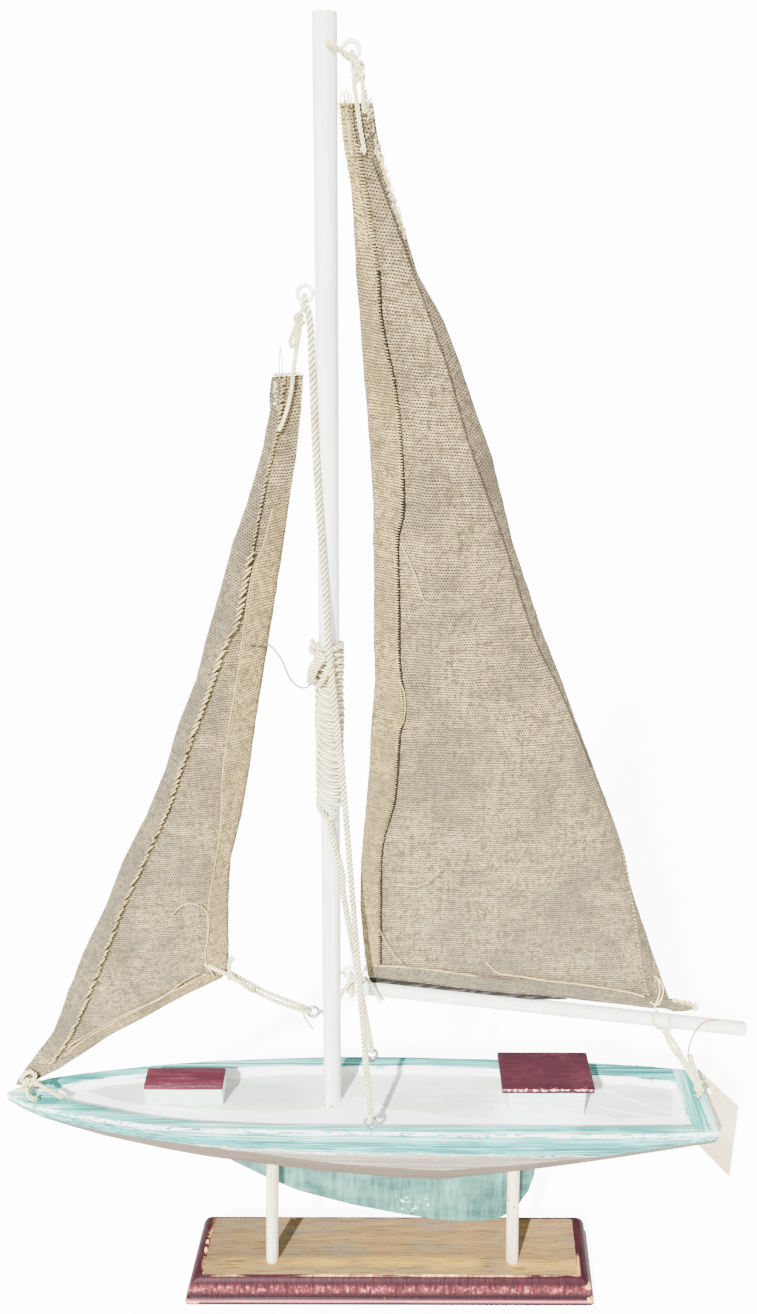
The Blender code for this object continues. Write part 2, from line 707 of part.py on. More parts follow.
def boom_loop(name, x, top):
    """Closed cord round the boom that passes over a point above it."""
    centre = boom_point(x)
    reach = BOOM_D / 2 + GAP + CORD_D / 2
    points = []
    for k in range(9):
        a = math.pi + math.pi * k / 8
        points.append(centre + Vector((0, reach * math.cos(a), reach * math.sin(a))))
    head = Vector(top)
    for k in range(5):
        a = math.pi * k / 4
        points.append(head + Vector((0, STRAND_Y * math.cos(a), STRAND_Y * (math.sin(a) - 1))))
    return wire(name, points, CORD_D, "rope_cotton", cyclic=True)


tack_loop = boom_loop("tack_lashing", ring_at["eye_gooseneck"].x, ring_at["eye_gooseneck"])

# the clew lashing passes under the boom and grips the sail's corner
main_clew = Vector((main_rows[-1][2], 0.0, main_rows[-1][3]))
centre = boom_point(main_clew.x - CLEW_GRIP)
reach = BOOM_D / 2 + GAP + CORD_D / 2
grip = main_clew.z + 2 * CORD_D - centre.z
waist = grip / 2
under = []
for k in range(9):
    a = math.pi + math.pi * k / 8
    under.append(centre + Vector((0, reach * math.cos(a), reach * math.sin(a))))
points = [centre + Vector((0, -GRIP_Y, grip)), centre + Vector((0, -GRIP_Y - CORD_D, waist))]
points += under
points += [centre + Vector((0, GRIP_Y + CORD_D, waist)), centre + Vector((0, GRIP_Y, grip))]
clew_loop = wire("clew_lashing", points, CORD_D, "rope_cotton")

sheet_top = boom_point(main_clew.x - SHEET_GRIP) - Vector((0, 0, BOOM_D / 2 + GAP + TOUCH))
hitch("main_sheet", "eye_stern", sheet_top, end_y=STRAND_Y)

# --------------------------------------------------------------- swing tag
corners = [Vector((0, 0)), Vector((TAG_W, 0)), Vector((TAG_W, -TAG_H)), Vector((0, -TAG_H))]
punch_at = Vector((TAG_HOLE_IN, -TAG_HOLE_DOWN))
lean = Matrix.Rotation(TAG_LEAN, 2)
tag = plate("swing_tag", [lean @ p for p in corners], TAG_T, "card")
tag.rotation_euler = (math.radians(90), 0.0, -math.radians(90) + TAG_TURN)
tag.location = (HULL_STATIONS[-1][0] + TAG_OFF, TAG_FAR_Y, TAG_TOP_Z)
tag = as_mesh(tag)
if not tag.data.materials:
    tag.data.materials.append(look("card"))
hole_at = tag.matrix_world @ (lean @ punch_at).to_3d()
face = (tag.matrix_world.to_3x3() @ Vector((0, 0, 1))).normalized()
if face.x < 0:
    face = -face
reach = face * (2 * TAG_HOLE_D / 3)
punch = rod("tag_punch", hole_at - reach, hole_at + reach, TAG_HOLE_D, None, into=tools)
cut(tag, punch)
stern = ring_at["eye_stern"]
stern_x = HULL_STATIONS[-1][0]
clear = THREAD_D / 2 + GAP
hung = hole_at + Vector((0, 0, TAG_HOLE_D / 2 - clear))
start = stern + Vector((RING_R + WIRE_D / 2 + clear, -THREAD_D, THREAD_D))
thread = [
    start,
    start + Vector((0, 3 * THREAD_D, -THREAD_D)),
    Vector((stern_x, hole_at.y * 0.55, RAIL_Z + 3 * clear)),
    Vector((stern_x + TAG_OFF, hole_at.y * 0.80, RAIL_Z)),
    hung - face * (3 * clear) + Vector((0, 0, THREAD_D)),
    hung - face * THREAD_D,
    hung + face * (2 * THREAD_D),
]
wire("tag_thread", thread, THREAD_D, "rope_cotton")

# ------------------------------------------------------- swinging boom group
pivot = bpy.data.objects.new("boom_pivot", None)
boat.objects.link(pivot)
pivot.location = ring_at["eye_gooseneck"]
pivot.rotation_euler = (0.0, math.atan(MAST_LEAN), 0.0)
bpy.context.view_layer.update()
for part in (boom, main_sail, head_cord, tack_loop, clew_loop):
    part.parent = pivot
    part.matrix_parent_inverse = pivot.matrix_world.inverted()
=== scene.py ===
import math

import bpy
import numpy as np
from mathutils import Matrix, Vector, noise


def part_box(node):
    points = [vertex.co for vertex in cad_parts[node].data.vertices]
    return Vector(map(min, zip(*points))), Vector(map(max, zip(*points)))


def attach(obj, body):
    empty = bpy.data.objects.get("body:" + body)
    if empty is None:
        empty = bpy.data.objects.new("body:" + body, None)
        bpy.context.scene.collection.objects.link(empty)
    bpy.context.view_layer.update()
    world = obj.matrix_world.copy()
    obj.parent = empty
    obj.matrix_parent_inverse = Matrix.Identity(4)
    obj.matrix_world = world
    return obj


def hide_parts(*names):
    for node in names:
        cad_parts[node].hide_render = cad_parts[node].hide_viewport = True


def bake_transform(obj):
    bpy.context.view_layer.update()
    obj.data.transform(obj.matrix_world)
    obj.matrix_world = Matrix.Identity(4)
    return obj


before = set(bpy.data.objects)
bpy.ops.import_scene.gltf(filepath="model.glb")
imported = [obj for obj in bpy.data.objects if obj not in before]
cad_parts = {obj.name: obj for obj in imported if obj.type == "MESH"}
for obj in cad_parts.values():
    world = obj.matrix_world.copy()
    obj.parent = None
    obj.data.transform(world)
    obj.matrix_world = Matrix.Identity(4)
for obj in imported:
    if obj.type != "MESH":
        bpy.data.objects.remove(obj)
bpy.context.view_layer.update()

# ------------------------------------------------------------------ camera
# A hand-held view from the port side, nearly as high as the masthead, level
# across and tipped down, so that the deck opens up below the sails.
FILM = 36.0
TIP_DOWN = 22.874
ROLL = -0.135
TURN_LEFT = 0.057
cam_data = bpy.data.cameras.new("camera")
cam_data.sensor_fit = "VERTICAL"
cam_data.sensor_height = FILM
cam_data.lens = FILM * 1110.0 / 1314.0
camera = bpy.data.objects.new("camera", cam_data)
bpy.context.scene.collection.objects.link(camera)
camera.location = (-0.00763, -0.40251, 0.50941)
camera.rotation_euler = (math.radians(90.0 - TIP_DOWN), math.radians(ROLL), math.radians(TURN_LEFT))
bpy.context.scene.camera = camera


# ----------------------------------------------------------------- shrouds
# Two stays of soft three-strand cotton rope, 3 mm thick. The port one drops
# from the halyard eye and winds a third of the way round the mast, over the
# whipping; the other leaves the foot of the whipping. Each ends on a rail eye.
def new_piece(name, verts, faces, mat=None, uvs=None):
    """Mesh object from lists, at the origin, shaded smooth."""
    mesh = bpy.data.meshes.new(name)
    mesh.from_pydata([tuple(v) for v in verts], [], faces)
    mesh.update()
    if uvs is not None:
        layer = mesh.uv_layers.new(name="UVMap")
        index = np.empty(len(mesh.loops), dtype=np.int32)
        mesh.loops.foreach_get("vertex_index", index)
        layer.data.foreach_set("uv", np.asarray(uvs, dtype=np.float32)[index].ravel())
    mesh.shade_smooth()
    obj = bpy.data.objects.new(name, mesh)
    bpy.context.scene.collection.objects.link(obj)
    if mat is not None:
        mesh.materials.append(mat)
    return obj


def even_path(points, step, closed=False):
    """Smooth curve through the points, in even steps."""
    pts = np.array([tuple(p) for p in points], dtype=float)
    if closed:
        pts = np.vstack([pts[-1], pts, pts[0], pts[1]])
    else:
        pts = np.vstack([2 * pts[0] - pts[1], pts, 2 * pts[-1] - pts[-2]])
    fine = []
    for a, b, c, d in zip(pts, pts[1:], pts[2:], pts[3:]):
        for t in np.linspace(0, 1, 24, endpoint=False):
            fine.append(0.5 * (2 * b + (c - a) * t + (2 * a - 5 * b + 4 * c - d) * t * t
                               + (3 * b - a - 3 * c + d) * t ** 3))
    fine.append(pts[-2])
    fine = np.array(fine)
    run = np.concatenate([[0], np.cumsum(np.linalg.norm(np.diff(fine, axis=0), axis=1))])
    count = max(4, int(round(run[-1] / step)))
    marks = np.linspace(0, run[-1], count + 1)
    return np.stack([np.interp(marks, run, fine[:, k]) for k in range(3)], axis=1), run[-1]


def laid(points, thick, lay, plies=3, sides=7, closed=False, out=None, flat=(1.0, 1.0), fray=0.0, even=False):
    """Twisted rope along a path: vertices, faces and UVs of its plies."""
    steps = 10 if plies > 1 else 3
    if even:
        path = np.array(points)
        length = np.linalg.norm(np.diff(path, axis=0), axis=1).sum()
    else:
        path, length = even_path(points, lay / steps, closed)
    if closed:
        path = path[:-1]
    n = len(path)
    back = np.roll(path, 1, axis=0) if closed else np.vstack([path[:1], path[:-1]])
    ahead = np.roll(path, -1, axis=0) if closed else np.vstack([path[1:], path[-1:]])
    tangent = ahead - back
    tangent /= np.linalg.norm(tangent, axis=1)[:, None]
    if out is None:
        normal = np.zeros_like(path)
        seed = np.array([0.0, -1.0, 0.03])
        for i in range(n):
            seed = seed - tangent[i] * seed.dot(tangent[i])
            seed /= np.linalg.norm(seed)
            normal[i] = seed
    else:
        normal = np.array(out)
    side = np.cross(tangent, normal)
    turns = max(1, round(length / lay)) if closed else length / lay
    phase = 2 * np.pi * turns * np.arange(n) / (n if closed else n - 1)
    ply_r = thick / 2 * {1: 1.0, 2: 0.60, 3: 0.54, 4: 0.44}[plies]
    off = thick / 2 - ply_r
    spread = np.ones(n)
    if fray:
        loose = min(9, n)
        spread[-loose:] += fray * np.linspace(0, 1, loose) ** 1.6
    turn_in = 0.45 if plies > 1 else 0.12
    around = np.linspace(0, 2 * np.pi, sides, endpoint=False)
    verts = []
    faces = []
    uvs = []
    for k in range(plies):
        a = phase + 2 * np.pi * k / plies
        cn = off * spread * np.cos(a)
        cs = off * spread * np.sin(a)
        base = len(verts)
        for i in range(n):
            for j, b in enumerate(around):
                rn = cn[i] + ply_r * math.cos(b + a[i])
                rs = cs[i] + ply_r * math.sin(b + a[i])
                verts.append(path[i] + normal[i] * rn * flat[0] + side[i] * rs * flat[1])
                uvs.append((k + 0.05 + turn_in * (1 - math.cos(b)), length * i / n * 100))
        rows = n if closed else n - 1
        for i in range(rows):
            p = base + i * sides
            q = base + ((i + 1) % n) * sides
            for j in range(sides):
                m = (j + 1) % sides
                faces.append((p + j, p + m, q + m, q + j))
        if not closed:
            faces.append(tuple(base + j for j in reversed(range(sides))))
            faces.append(tuple(base + (n - 1) * sides + j for j in range(sides)))
    return verts, faces, uvs


def rope_piece(name, mat, *runs):
    """One object out of several laid runs."""
    verts = []
    faces = []
    uvs = []
    for v, f, u in runs:
        shift = len(verts)
        verts += v
        faces += [tuple(i + shift for i in face) for face in f]
        uvs += u
    return new_piece(name, verts, faces, mat, uvs)


def shader_of(name, rough=0.7, metal=0.0, gloss=0.4):
    """New material, its tree and its Principled shader."""
    mat = bpy.data.materials.new(name)
    mat.use_nodes = True
    shader = mat.node_tree.nodes["Principled BSDF"]
    shader.inputs["Roughness"].default_value = rough
    shader.inputs["Metallic"].default_value = metal
    shader.inputs["Specular IOR Level"].default_value = gloss
    return mat, mat.node_tree, shader


def feed(tree, value, target):
    """Link a socket, or set a plain value."""
    if isinstance(value, bpy.types.NodeSocket):
        tree.links.new(value, target)
    else:
        target.default_value = value


def calc(tree, op, a, b=0.0, c=0.0):
    """One step of arithmetic on sockets or plain values."""
    math_node = tree.nodes.new("ShaderNodeMath")
    math_node.operation = op
    for value, target in zip((a, b, c), math_node.inputs):
        feed(tree, value, target)
    return math_node.outputs[0]


def times(tree, a, b):
    """Product of two sockets or plain values."""
    return calc(tree, "MULTIPLY", a, b)


def plus(tree, a, b):
    """Sum of two sockets or plain values."""
    return calc(tree, "ADD", a, b)


def window(tree, value, low, high, to_low=0.0, to_high=1.0):
    """Ramp from to_low to to_high as the value goes from low to high."""
    made = tree.nodes.new("ShaderNodeMapRange")
    made.interpolation_type = "SMOOTHSTEP"
    for key, number in (
        ("Value", value), ("From Min", low), ("From Max", high), ("To Min", to_low), ("To Max", to_high)):
        feed(tree, number, made.inputs[key])
    return made.outputs["Result"]


def mixed(tree, share, a, b):
    """Blend from a to b, as colours or sockets."""
    made = tree.nodes.new("ShaderNodeMix")
    made.data_type = "RGBA"
    feed(tree, share, made.inputs["Factor"])
    for value, target in ((a, made.inputs[6]), (b, made.inputs[7])):
        feed(tree, (*value, 1.0) if isinstance(value, tuple) else value, target)
    return made.outputs[2]


AS_IS = (1.0, 1.0, 1.0)


def layered(tree, base, *coats):
    """Coats laid over a base colour one by one, each as its mask and its tone."""
    for mask, tone in coats:
        base = mixed(tree, mask, base, tone)
    return base


def place(tree, scale, kind="Object"):
    """Object or UV coordinates, scaled."""
    source = tree.nodes.new("ShaderNodeTexCoord")
    mapping = tree.nodes.new("ShaderNodeMapping")
    mapping.inputs["Scale"].default_value = scale
    tree.links.new(source.outputs[kind], mapping.inputs["Vector"])
    return mapping.outputs["Vector"]


def cloudy(tree, vector, scale=1.0, detail=3.0, rough=0.5):
    """Noise over a vector socket, or over the object at a scale on each axis."""
    if isinstance(vector, tuple):
        vector = place(tree, vector)
    made = tree.nodes.new("ShaderNodeTexNoise")
    made.inputs["Scale"].default_value = scale
    made.inputs["Detail"].default_value = detail
    made.inputs["Roughness"].default_value = rough
    tree.links.new(vector, made.inputs["Vector"])
    return made.outputs["Fac"]


def raised(tree, shader, height, depth, strength):
    """Relief of a material, its depth in metres."""
    bump = tree.nodes.new("ShaderNodeBump")
    bump.inputs["Distance"].default_value = depth
    bump.inputs["Strength"].default_value = strength
    feed(tree, height, bump.inputs["Height"])
    tree.links.new(bump.outputs["Normal"], shader.inputs["Normal"])


def dress(tree, shader, colour, rough, height, depth, strength):
    """Colour, roughness and relief of a material."""
    feed(tree, colour, shader.inputs["Base Color"])
    feed(tree, rough, shader.inputs["Roughness"])
    raised(tree, shader, height, depth, strength)


def tint(red, green, blue):
    """Paint-card colour, 0 to 255, as the shader wants it."""
    return tuple(
        ((v / 255 + 0.055) / 1.055) ** 2.4 if v > 10 else v / 255 / 12.92 for v in (red, green, blue))


def parts_of(tree, vector):
    """X, Y and Z of a vector socket."""
    made = tree.nodes.new("ShaderNodeSeparateXYZ")
    tree.links.new(vector, made.inputs[0])
    return made.outputs


def spin_cotton(name, light, dark, crevice_shade, deep=0.75):
    """Cotton yarn: fibres run along each ply, duller in patches, with painted shade between plies."""
    mat, tree, shader = shader_of(name, rough=0.85, gloss=0.2)
    fibre = cloudy(tree, place(tree, (9.0, 1.6, 1.0), "UV"))
    patch = cloudy(tree, (140.0, 140.0, 140.0), detail=2.0)
    tone = calc(tree, "MULTIPLY_ADD", fibre, 0.55, times(tree, patch, 0.45))
    yarn = mixed(tree, window(tree, tone, 0.34, 0.58), dark, light)
    # painted shade: the side of each ply that faces the rope's core darkens toward the crevice colour
    inward = calc(tree, "FRACT", parts_of(tree, place(tree, AS_IS, "UV"))[0])
    yarn = mixed(
        tree, window(tree, calc(tree, "MULTIPLY_ADD", fibre, 0.10, inward), 0.34, 0.58, 0.0, deep), yarn,
        crevice_shade)
    dress(tree, shader, yarn, window(tree, fibre, 0.3, 0.7, 0.92, 0.78), fibre, 0.0002, 0.6)
    shader.inputs["Sheen Weight"].default_value = 0.25
    return mat


# the third colour is the painted shade between the strands
cotton = spin_cotton("rope_cotton", tint(246, 240, 190), tint(206, 192, 144), tint(66, 57, 42))

# thicknesses, places and the pitch of the rope's twist, in metres
ROPE = 0.0030
ROPE_LAY = 0.0066
TURN = 0.0024
CORD = 0.0020
WIRE = 0.0015
RING = 0.0026
MAST_R = 0.0040
MAST_FOOT_X = -0.0288
MAST_LEAN = 0.008
DECK_Z = 0.1124
rail_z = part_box("hull")[1][2]


def mast_x(z):
    """Middle of the mast, which leans aft by 8 mm in a metre."""
    return MAST_FOOT_X + (z - DECK_Z) * MAST_LEAN


def ring(name):
    """Middle of a screw eye's ring."""
    low, high = (Vector(v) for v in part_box(name))
    if high.z - low.z > high.x - low.x:
        return Vector(((low.x + high.x) / 2, (low.y + high.y) / 2, high.z - RING - WIRE / 2))
    end = low.x + RING + WIRE / 2 if low.x < mast_x(low.z) - 0.008 else high.x - RING - WIRE / 2
    return Vector((end, (low.y + high.y) / 2, (low.z + high.z) / 2))


def round_mast(z, degrees, clear):
    """Middle of a rope that lies against the mast; 0 degrees is aft, 270 port."""
    reach = MAST_R + clear + TURN / 2
    a = math.radians(degrees)
    return Vector((mast_x(z) + reach * math.cos(a), reach * math.sin(a), z))


whip_low, whip_high = (v[2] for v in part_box("mast_whipping"))
halyard = ring("eye_jib_halyard")
gooseneck = ring("eye_gooseneck")
port_eye = ring("eye_rail_port")
starboard_eye = ring("eye_rail_starboard")

hang = halyard + Vector((0.0004, -0.0006, -RING - WIRE / 2 - ROPE * 0.2))
port_path = [hang, round_mast(0.465, 190, 0.0006)]
for z, turn in ((0.440, 207), (0.415, 224), (0.390, 243), (0.370, 258)):
    port_path.append(round_mast(z, turn, 0.0003))
for z, turn in ((0.352, 268), (0.3425, 273), (0.320, 290), (0.300, 306), (0.284, 320)):
    port_path.append(round_mast(z, turn, 0.0019))
foot = port_eye + Vector((0.0, 0.0, RING * 0.5))
port_path += [Vector(port_path[-1]).lerp(foot, 0.5), foot]
port_shroud = rope_piece("port_shroud", cotton, laid(port_path, ROPE, ROPE_LAY))
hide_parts("shroud_port")

far_path = [round_mast(whip_low - 0.0006, 262, 0.0004)]
for z, turn in ((0.262, 278), (0.250, 305), (0.238, 338), (0.226, 8)):
    far_path.append(round_mast(z, turn, 0.0003))
foot = starboard_eye + Vector((0.0, 0.0, RING * 0.5))
far_path += [Vector(far_path[-1]).lerp(foot, 0.5), foot]
far_shroud = rope_piece("starboard_shroud", cotton, laid(far_path, ROPE, ROPE_LAY))
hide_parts("shroud_starboard")
for piece in (port_shroud, far_shroud):
    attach(piece, "hull_and_stand")

# ---------------------------------------------------------------- whipping
# Twenty-four close turns of the same rope bound round the mast and pulled flat,
# with two wraps and a frayed bunch at the top and a dipping knot at the foot.
WHIP_TURNS = 24
turns = []
outward = []
samples = 60
for i in range(WHIP_TURNS * samples + 1):
    share = i / (WHIP_TURNS * samples)
    a = math.radians(255) + 2 * math.pi * WHIP_TURNS * share
    z = whip_high - 0.0012 - (whip_high - whip_low - 0.0026) * share
    z -= 0.0016 * max(0.0, share - 0.94) / 0.06 * max(0.0, -math.sin(a))
    reach = MAST_R + 0.0011 + 0.00016 * math.sin(i * 0.013)
    turns.append((mast_x(z) + reach * math.cos(a), reach * math.sin(a), z))
    outward.append((math.cos(a), math.sin(a), 0.0))
wound = laid(turns, TURN, 0.0190, out=outward, flat=(0.86, 1.04), even=True, sides=7)


def wrapped(z, start, end, clear, drop):
    """Points round the mast from one angle to another, in degrees."""
    return [round_mast(z - drop * k / 8, start + (end - start) * k / 8, clear) for k in range(9)]


wraps = [laid(wrapped(whip_high - 0.0008, 175, 300, 0.0014, 0.0004), TURN, 0.0062),
         laid(wrapped(whip_high - 0.0036, 170, 262, 0.0019, 0.0006), TURN, 0.0062)]
bunch = []
for start, bow, end in ((262, 240, 214), (252, 228, 202), (242, 219, 192)):
    strand = [round_mast(whip_high - 0.0044, start, 0.0018), round_mast(whip_high - 0.0082, bow, 0.0030),
              round_mast(whip_high - 0.0122, (bow + end) / 2, 0.0034),
              round_mast(whip_high - 0.0168, end, 0.0030)]
    bunch.append(laid(strand, 0.0021, 0.0052, plies=3, fray=0.9))
cross = [round_mast(whip_high - 0.0044, 282, 0.0012), round_mast(whip_high - 0.0076, 274, 0.0026),
         round_mast(whip_high - 0.0112, 262, 0.0030), round_mast(whip_high - 0.0152, 246, 0.0024),
         round_mast(whip_high - 0.0170, 230, 0.0012)]
dip = [round_mast(whip_low + 0.0020, 232, 0.0012), round_mast(whip_low + 0.0002, 250, 0.0014),
       round_mast(whip_low - 0.0016, 262, 0.0014), round_mast(whip_low - 0.0004, 276, 0.0014),
       round_mast(whip_low + 0.0022, 292, 0.0012)]
whipping = rope_piece("whipping", cotton, wound, *wraps, *bunch, laid(cross, 0.0023, 0.0060),
                      laid(dip, TURN, ROPE_LAY))
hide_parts("mast_whipping")
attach(whipping, "hull_and_stand")

# ------------------------------------------------------------- thin cords
# Cream three-ply twine, 2 mm thick, tied by hand: each tie is a doubled
# cord with one or two overhand knots and short cut ends. They hold the sails'
# corners to the eyes and the boom.
def overhand(centre, size, tilt):
    """Closed path of a tightened overhand knot that faces port."""
    facing = Vector((0.0, -1.0, 0.0))
    right = Vector((math.cos(tilt), 0.0, math.sin(tilt)))
    up = facing.cross(right)
    path = []
    for k in range(18):
        t = 2 * math.pi * k / 18
        x = (math.sin(t) + 2 * math.sin(2 * t)) / 3
        y = (math.cos(t) - 2 * math.cos(2 * t)) / 3
        path.append(Vector(centre)
                    + size / 2 * (right * x * 0.8 + up * y) - facing * (size * 0.22 * math.sin(3 * t)))
    return path


def twine(points, thick=CORD):
    """Run of twine through points given in millimetres."""
    return laid([Vector(p) / 1000 for p in points], thick, thick * 3.0, plies=3, sides=6)


def cut_end(points, thick=CORD, fray=2.0):
    """Tail of twine whose end has come untwisted and fans out."""
    return laid([Vector(p) / 1000 for p in points], thick, thick * 3.4, plies=4, sides=6, fray=fray)


def knot(centre, size, tilt=0.0, thick=0.0016):
    """Overhand knot pulled up hard; its centre and size are in millimetres."""
    return laid(overhand(Vector(centre) / 1000, size / 1000, tilt), thick, thick * 3.0,
                plies=2, sides=7, closed=True)


def through(eye, start, end):
    """Twine that passes through a ring from one side to the other."""
    c = ring(eye) * 1000
    drop = (Vector(start) + Vector(end)) / 2 - c
    inner = drop.normalized() * (RING * 1000 - WIRE * 500 - CORD * 500)
    return [Vector(start), c + inner + Vector((0, -1.0, 0)), c + inner * 0.9,
            c + inner + Vector((0, 1.0, 0)), Vector(end)]


twine_mat = spin_cotton("twine_cotton", tint(246, 240, 188), tint(212, 198, 146), tint(110, 94, 66), 0.45)
ties = {}
ties["main_head_cord"] = rope_piece(
    "main_head_tie", twine_mat,
    twine([(-24.4, -4.5, 551.7), (-22.9, -4.9, 551.2), (-21.2, -4.6, 550.3), (-19.0, -3.6, 549.0),
           (-17.0, -2.6, 547.5), (-15.4, -2.1, 546.0), (-13.6, -1.8, 544.8)], 0.0022),
    twine(through("eye_masthead", (-15.6, -1.5, 546.8), (-15.2, 0.9, 546.4)), 0.0018),
    knot((-14.5, -1.4, 544.5), 5.0, 0.5, 0.0018), knot((-14.9, -1.2, 542.6), 3.2, 1.9, 0.0016),
    twine([(-15.9, -1.6, 543.6), (-16.1, -1.8, 541.6), (-15.6, -1.9, 538.2), (-15.1, -2.0, 535.4),
           (-14.6, -2.1, 531.6), (-14.0, -2.2, 527.6), (-13.3, -2.1, 524.0), (-12.7, -1.7, 521.2)],
          0.0016),
    twine([(-13.6, -1.3, 543.4), (-13.2, -1.5, 540.6), (-13.0, -1.6, 537.8), (-12.9, -1.4, 534.8),
           (-12.7, -0.9, 532.0)], 0.0017),
    knot((-12.9, -1.8, 521.0), 1.9, 0.2, 0.0009))
ties["jib_head_cord"] = rope_piece(
    "jib_head_tie", twine_mat,
    twine(through("eye_jib_halyard", (-34.2, -1.5, 471.6), (-34.0, 0.8, 471.2))),
    twine([(-33.6, -1.6, 472.4), (-34.5, -1.7, 470.6), (-35.2, -1.6, 468.8)], 0.0015),
    knot((-35.5, -1.2, 467.8), 3.9, 0.7, 0.0016),
    twine([(-36.0, -1.3, 467.0), (-37.4, -1.7, 463.8), (-38.6, -1.9, 460.8), (-38.7, -2.0, 458.9),
           (-37.7, -2.0, 458.3), (-37.0, -1.9, 459.8), (-36.6, -1.7, 462.6), (-35.9, -1.4, 466.2)],
          0.0016),
    twine([(-35.0, -1.3, 467.2), (-35.3, -1.7, 463.8), (-35.9, -1.9, 460.6), (-37.0, -2.0, 455.1),
           (-37.9, -2.1, 449.4), (-38.8, -2.2, 443.6), (-40.1, -2.4, 438.1), (-41.9, -2.6, 432.8),
           (-43.8, -2.6, 429.0)], 0.0015),
    twine([(-35.2, 0.4, 467.0), (-36.2, 0.9, 461.0), (-37.6, 1.3, 454.0), (-38.8, 1.6, 447.0),
           (-40.4, 1.8, 439.4)], 0.0015))
ties["jib_tack_cord"] = rope_piece(
    "jib_tack_tie", twine_mat,
    twine(through("eye_bow", (-170.8, -1.9, 124.6), (-170.4, 1.4, 124.8))),
    knot((-170.4, -2.2, 124.6), 4.2, 0.4), knot((-172.4, -2.6, 121.6), 3.6, 1.2),
    knot((-167.0, -2.4, 124.8), 3.4, 2.0),
    cut_end([(-167.4, -2.8, 125.0), (-163.8, -3.3, 123.0), (-160.2, -3.7, 120.4), (-157.0, -3.9, 118.2),
             (-154.4, -3.9, 117.3)], fray=1.1),
    cut_end([(-172.2, -2.8, 121.2), (-170.8, -4.2, 118.6), (-168.6, -4.9, 117.2), (-166.4, -4.6, 117.0)],
            fray=1.1),
    twine([(-171.2, -2.2, 123.2), (-173.8, -1.8, 125.8), (-171.4, -1.9, 129.6), (-168.6, -2.0, 130.6),
           (-167.0, -2.1, 128.4), (-168.6, -2.3, 125.6)], CORD * 1.1),
    cut_end([(-172.8, -2.6, 121.4), (-175.4, -1.8, 119.6), (-175.0, 0.4, 118.2), (-172.4, 1.6, 117.6)],
            fray=0.8))
ties["jib_sheet"] = rope_piece(
    "jib_clew_tie", twine_mat,
    twine([(-72.4, -1.8, 184.8), (-66.0, -2.0, 180.1), (-59.6, -2.0, 175.4), (-52.0, -1.8, 171.0),
           (-45.0, -1.4, 167.7), (-39.6, -1.0, 165.5), (-38.0, 0.2, 164.9), (-39.6, 1.2, 165.5),
           (-45.0, 1.5, 167.8), (-52.0, 1.6, 171.0), (-59.6, 1.6, 175.2), (-66.0, 1.4, 179.9),
           (-72.0, 0.6, 184.6)]),
    knot((-72.8, -1.5, 185.4), 3.8, 0.9),
    cut_end([(-72.8, -1.9, 186.0), (-73.5, -2.3, 189.4), (-73.2, -2.5, 193.2), (-71.9, -2.3, 196.6)],
            fray=0.9),
    cut_end([(-72.2, -2.2, 184.8), (-69.0, -2.9, 183.2), (-66.2, -2.8, 180.4), (-63.0, -2.5, 178.2)],
            fray=0.9),
    twine([(-73.0, -1.7, 185.6), (-76.8, -1.9, 187.9), (-80.2, -2.0, 189.9), (-84.4, -1.6, 192.2)]),
    twine([(-72.6, 0.3, 185.2), (-76.6, 1.5, 187.3), (-80.6, 1.9, 189.2), (-84.0, 1.4, 190.6)]),
    twine([(-41.4, -1.9, 165.6), (-40.2, -2.7, 162.4), (-38.6, -3.0, 159.6), (-36.9, -3.1, 156.8)],
          0.0011))
boom_low, boom_high = (Vector(v) * 1000 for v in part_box("boom"))
BOOM_R = 3.2


def boom_mid(x):
    """Middle of the boom at x, in millimetres."""
    share = (x - boom_low.x) / (boom_high.x - boom_low.x)
    top = boom_high.z - BOOM_R
    return Vector((x, 0.0, top + share * (boom_low.z + BOOM_R - top)))


def on_boom(x, degrees, clear):
    """Point beside the boom; 0 degrees is starboard, 180 port, 270 below."""
    a = math.radians(degrees)
    reach = BOOM_R + clear
    return boom_mid(x) + Vector((0, reach * math.cos(a), reach * math.sin(a)))


goose = gooseneck * 1000
tack_start = goose + Vector((0.3, -1.6, -2.0))
round_tack = [on_boom(-19.2, 165 + 210 * k / 8, 0.9) for k in range(9)]
ties["tack_lashing"] = rope_piece(
    "tack_tie", twine_mat,
    twine([tack_start] + round_tack
          + [goose + Vector((0.4, 1.6, -1.6)), goose + Vector((0.2, 0.0, -0.9)), tack_start]),
    knot((-16.6, -3.8, 185.4), 3.4, 0.3),
    cut_end([(-17.0, -4.0, 186.0), (-19.4, -4.8, 185.6), (-22.4, -5.6, 182.0), (-25.2, -6.0, 177.8)],
            0.0018, 2.2),
    cut_end([(-15.4, -4.1, 187.2), (-12.6, -4.7, 186.8), (-9.4, -5.0, 181.4), (-6.2, -4.8, 174.4)],
            0.0018, 2.2),
    twine([(-15.8, -3.4, 186.8), (-13.6, -3.8, 190.2), (-12.6, -3.9, 193.0)], 0.0012))
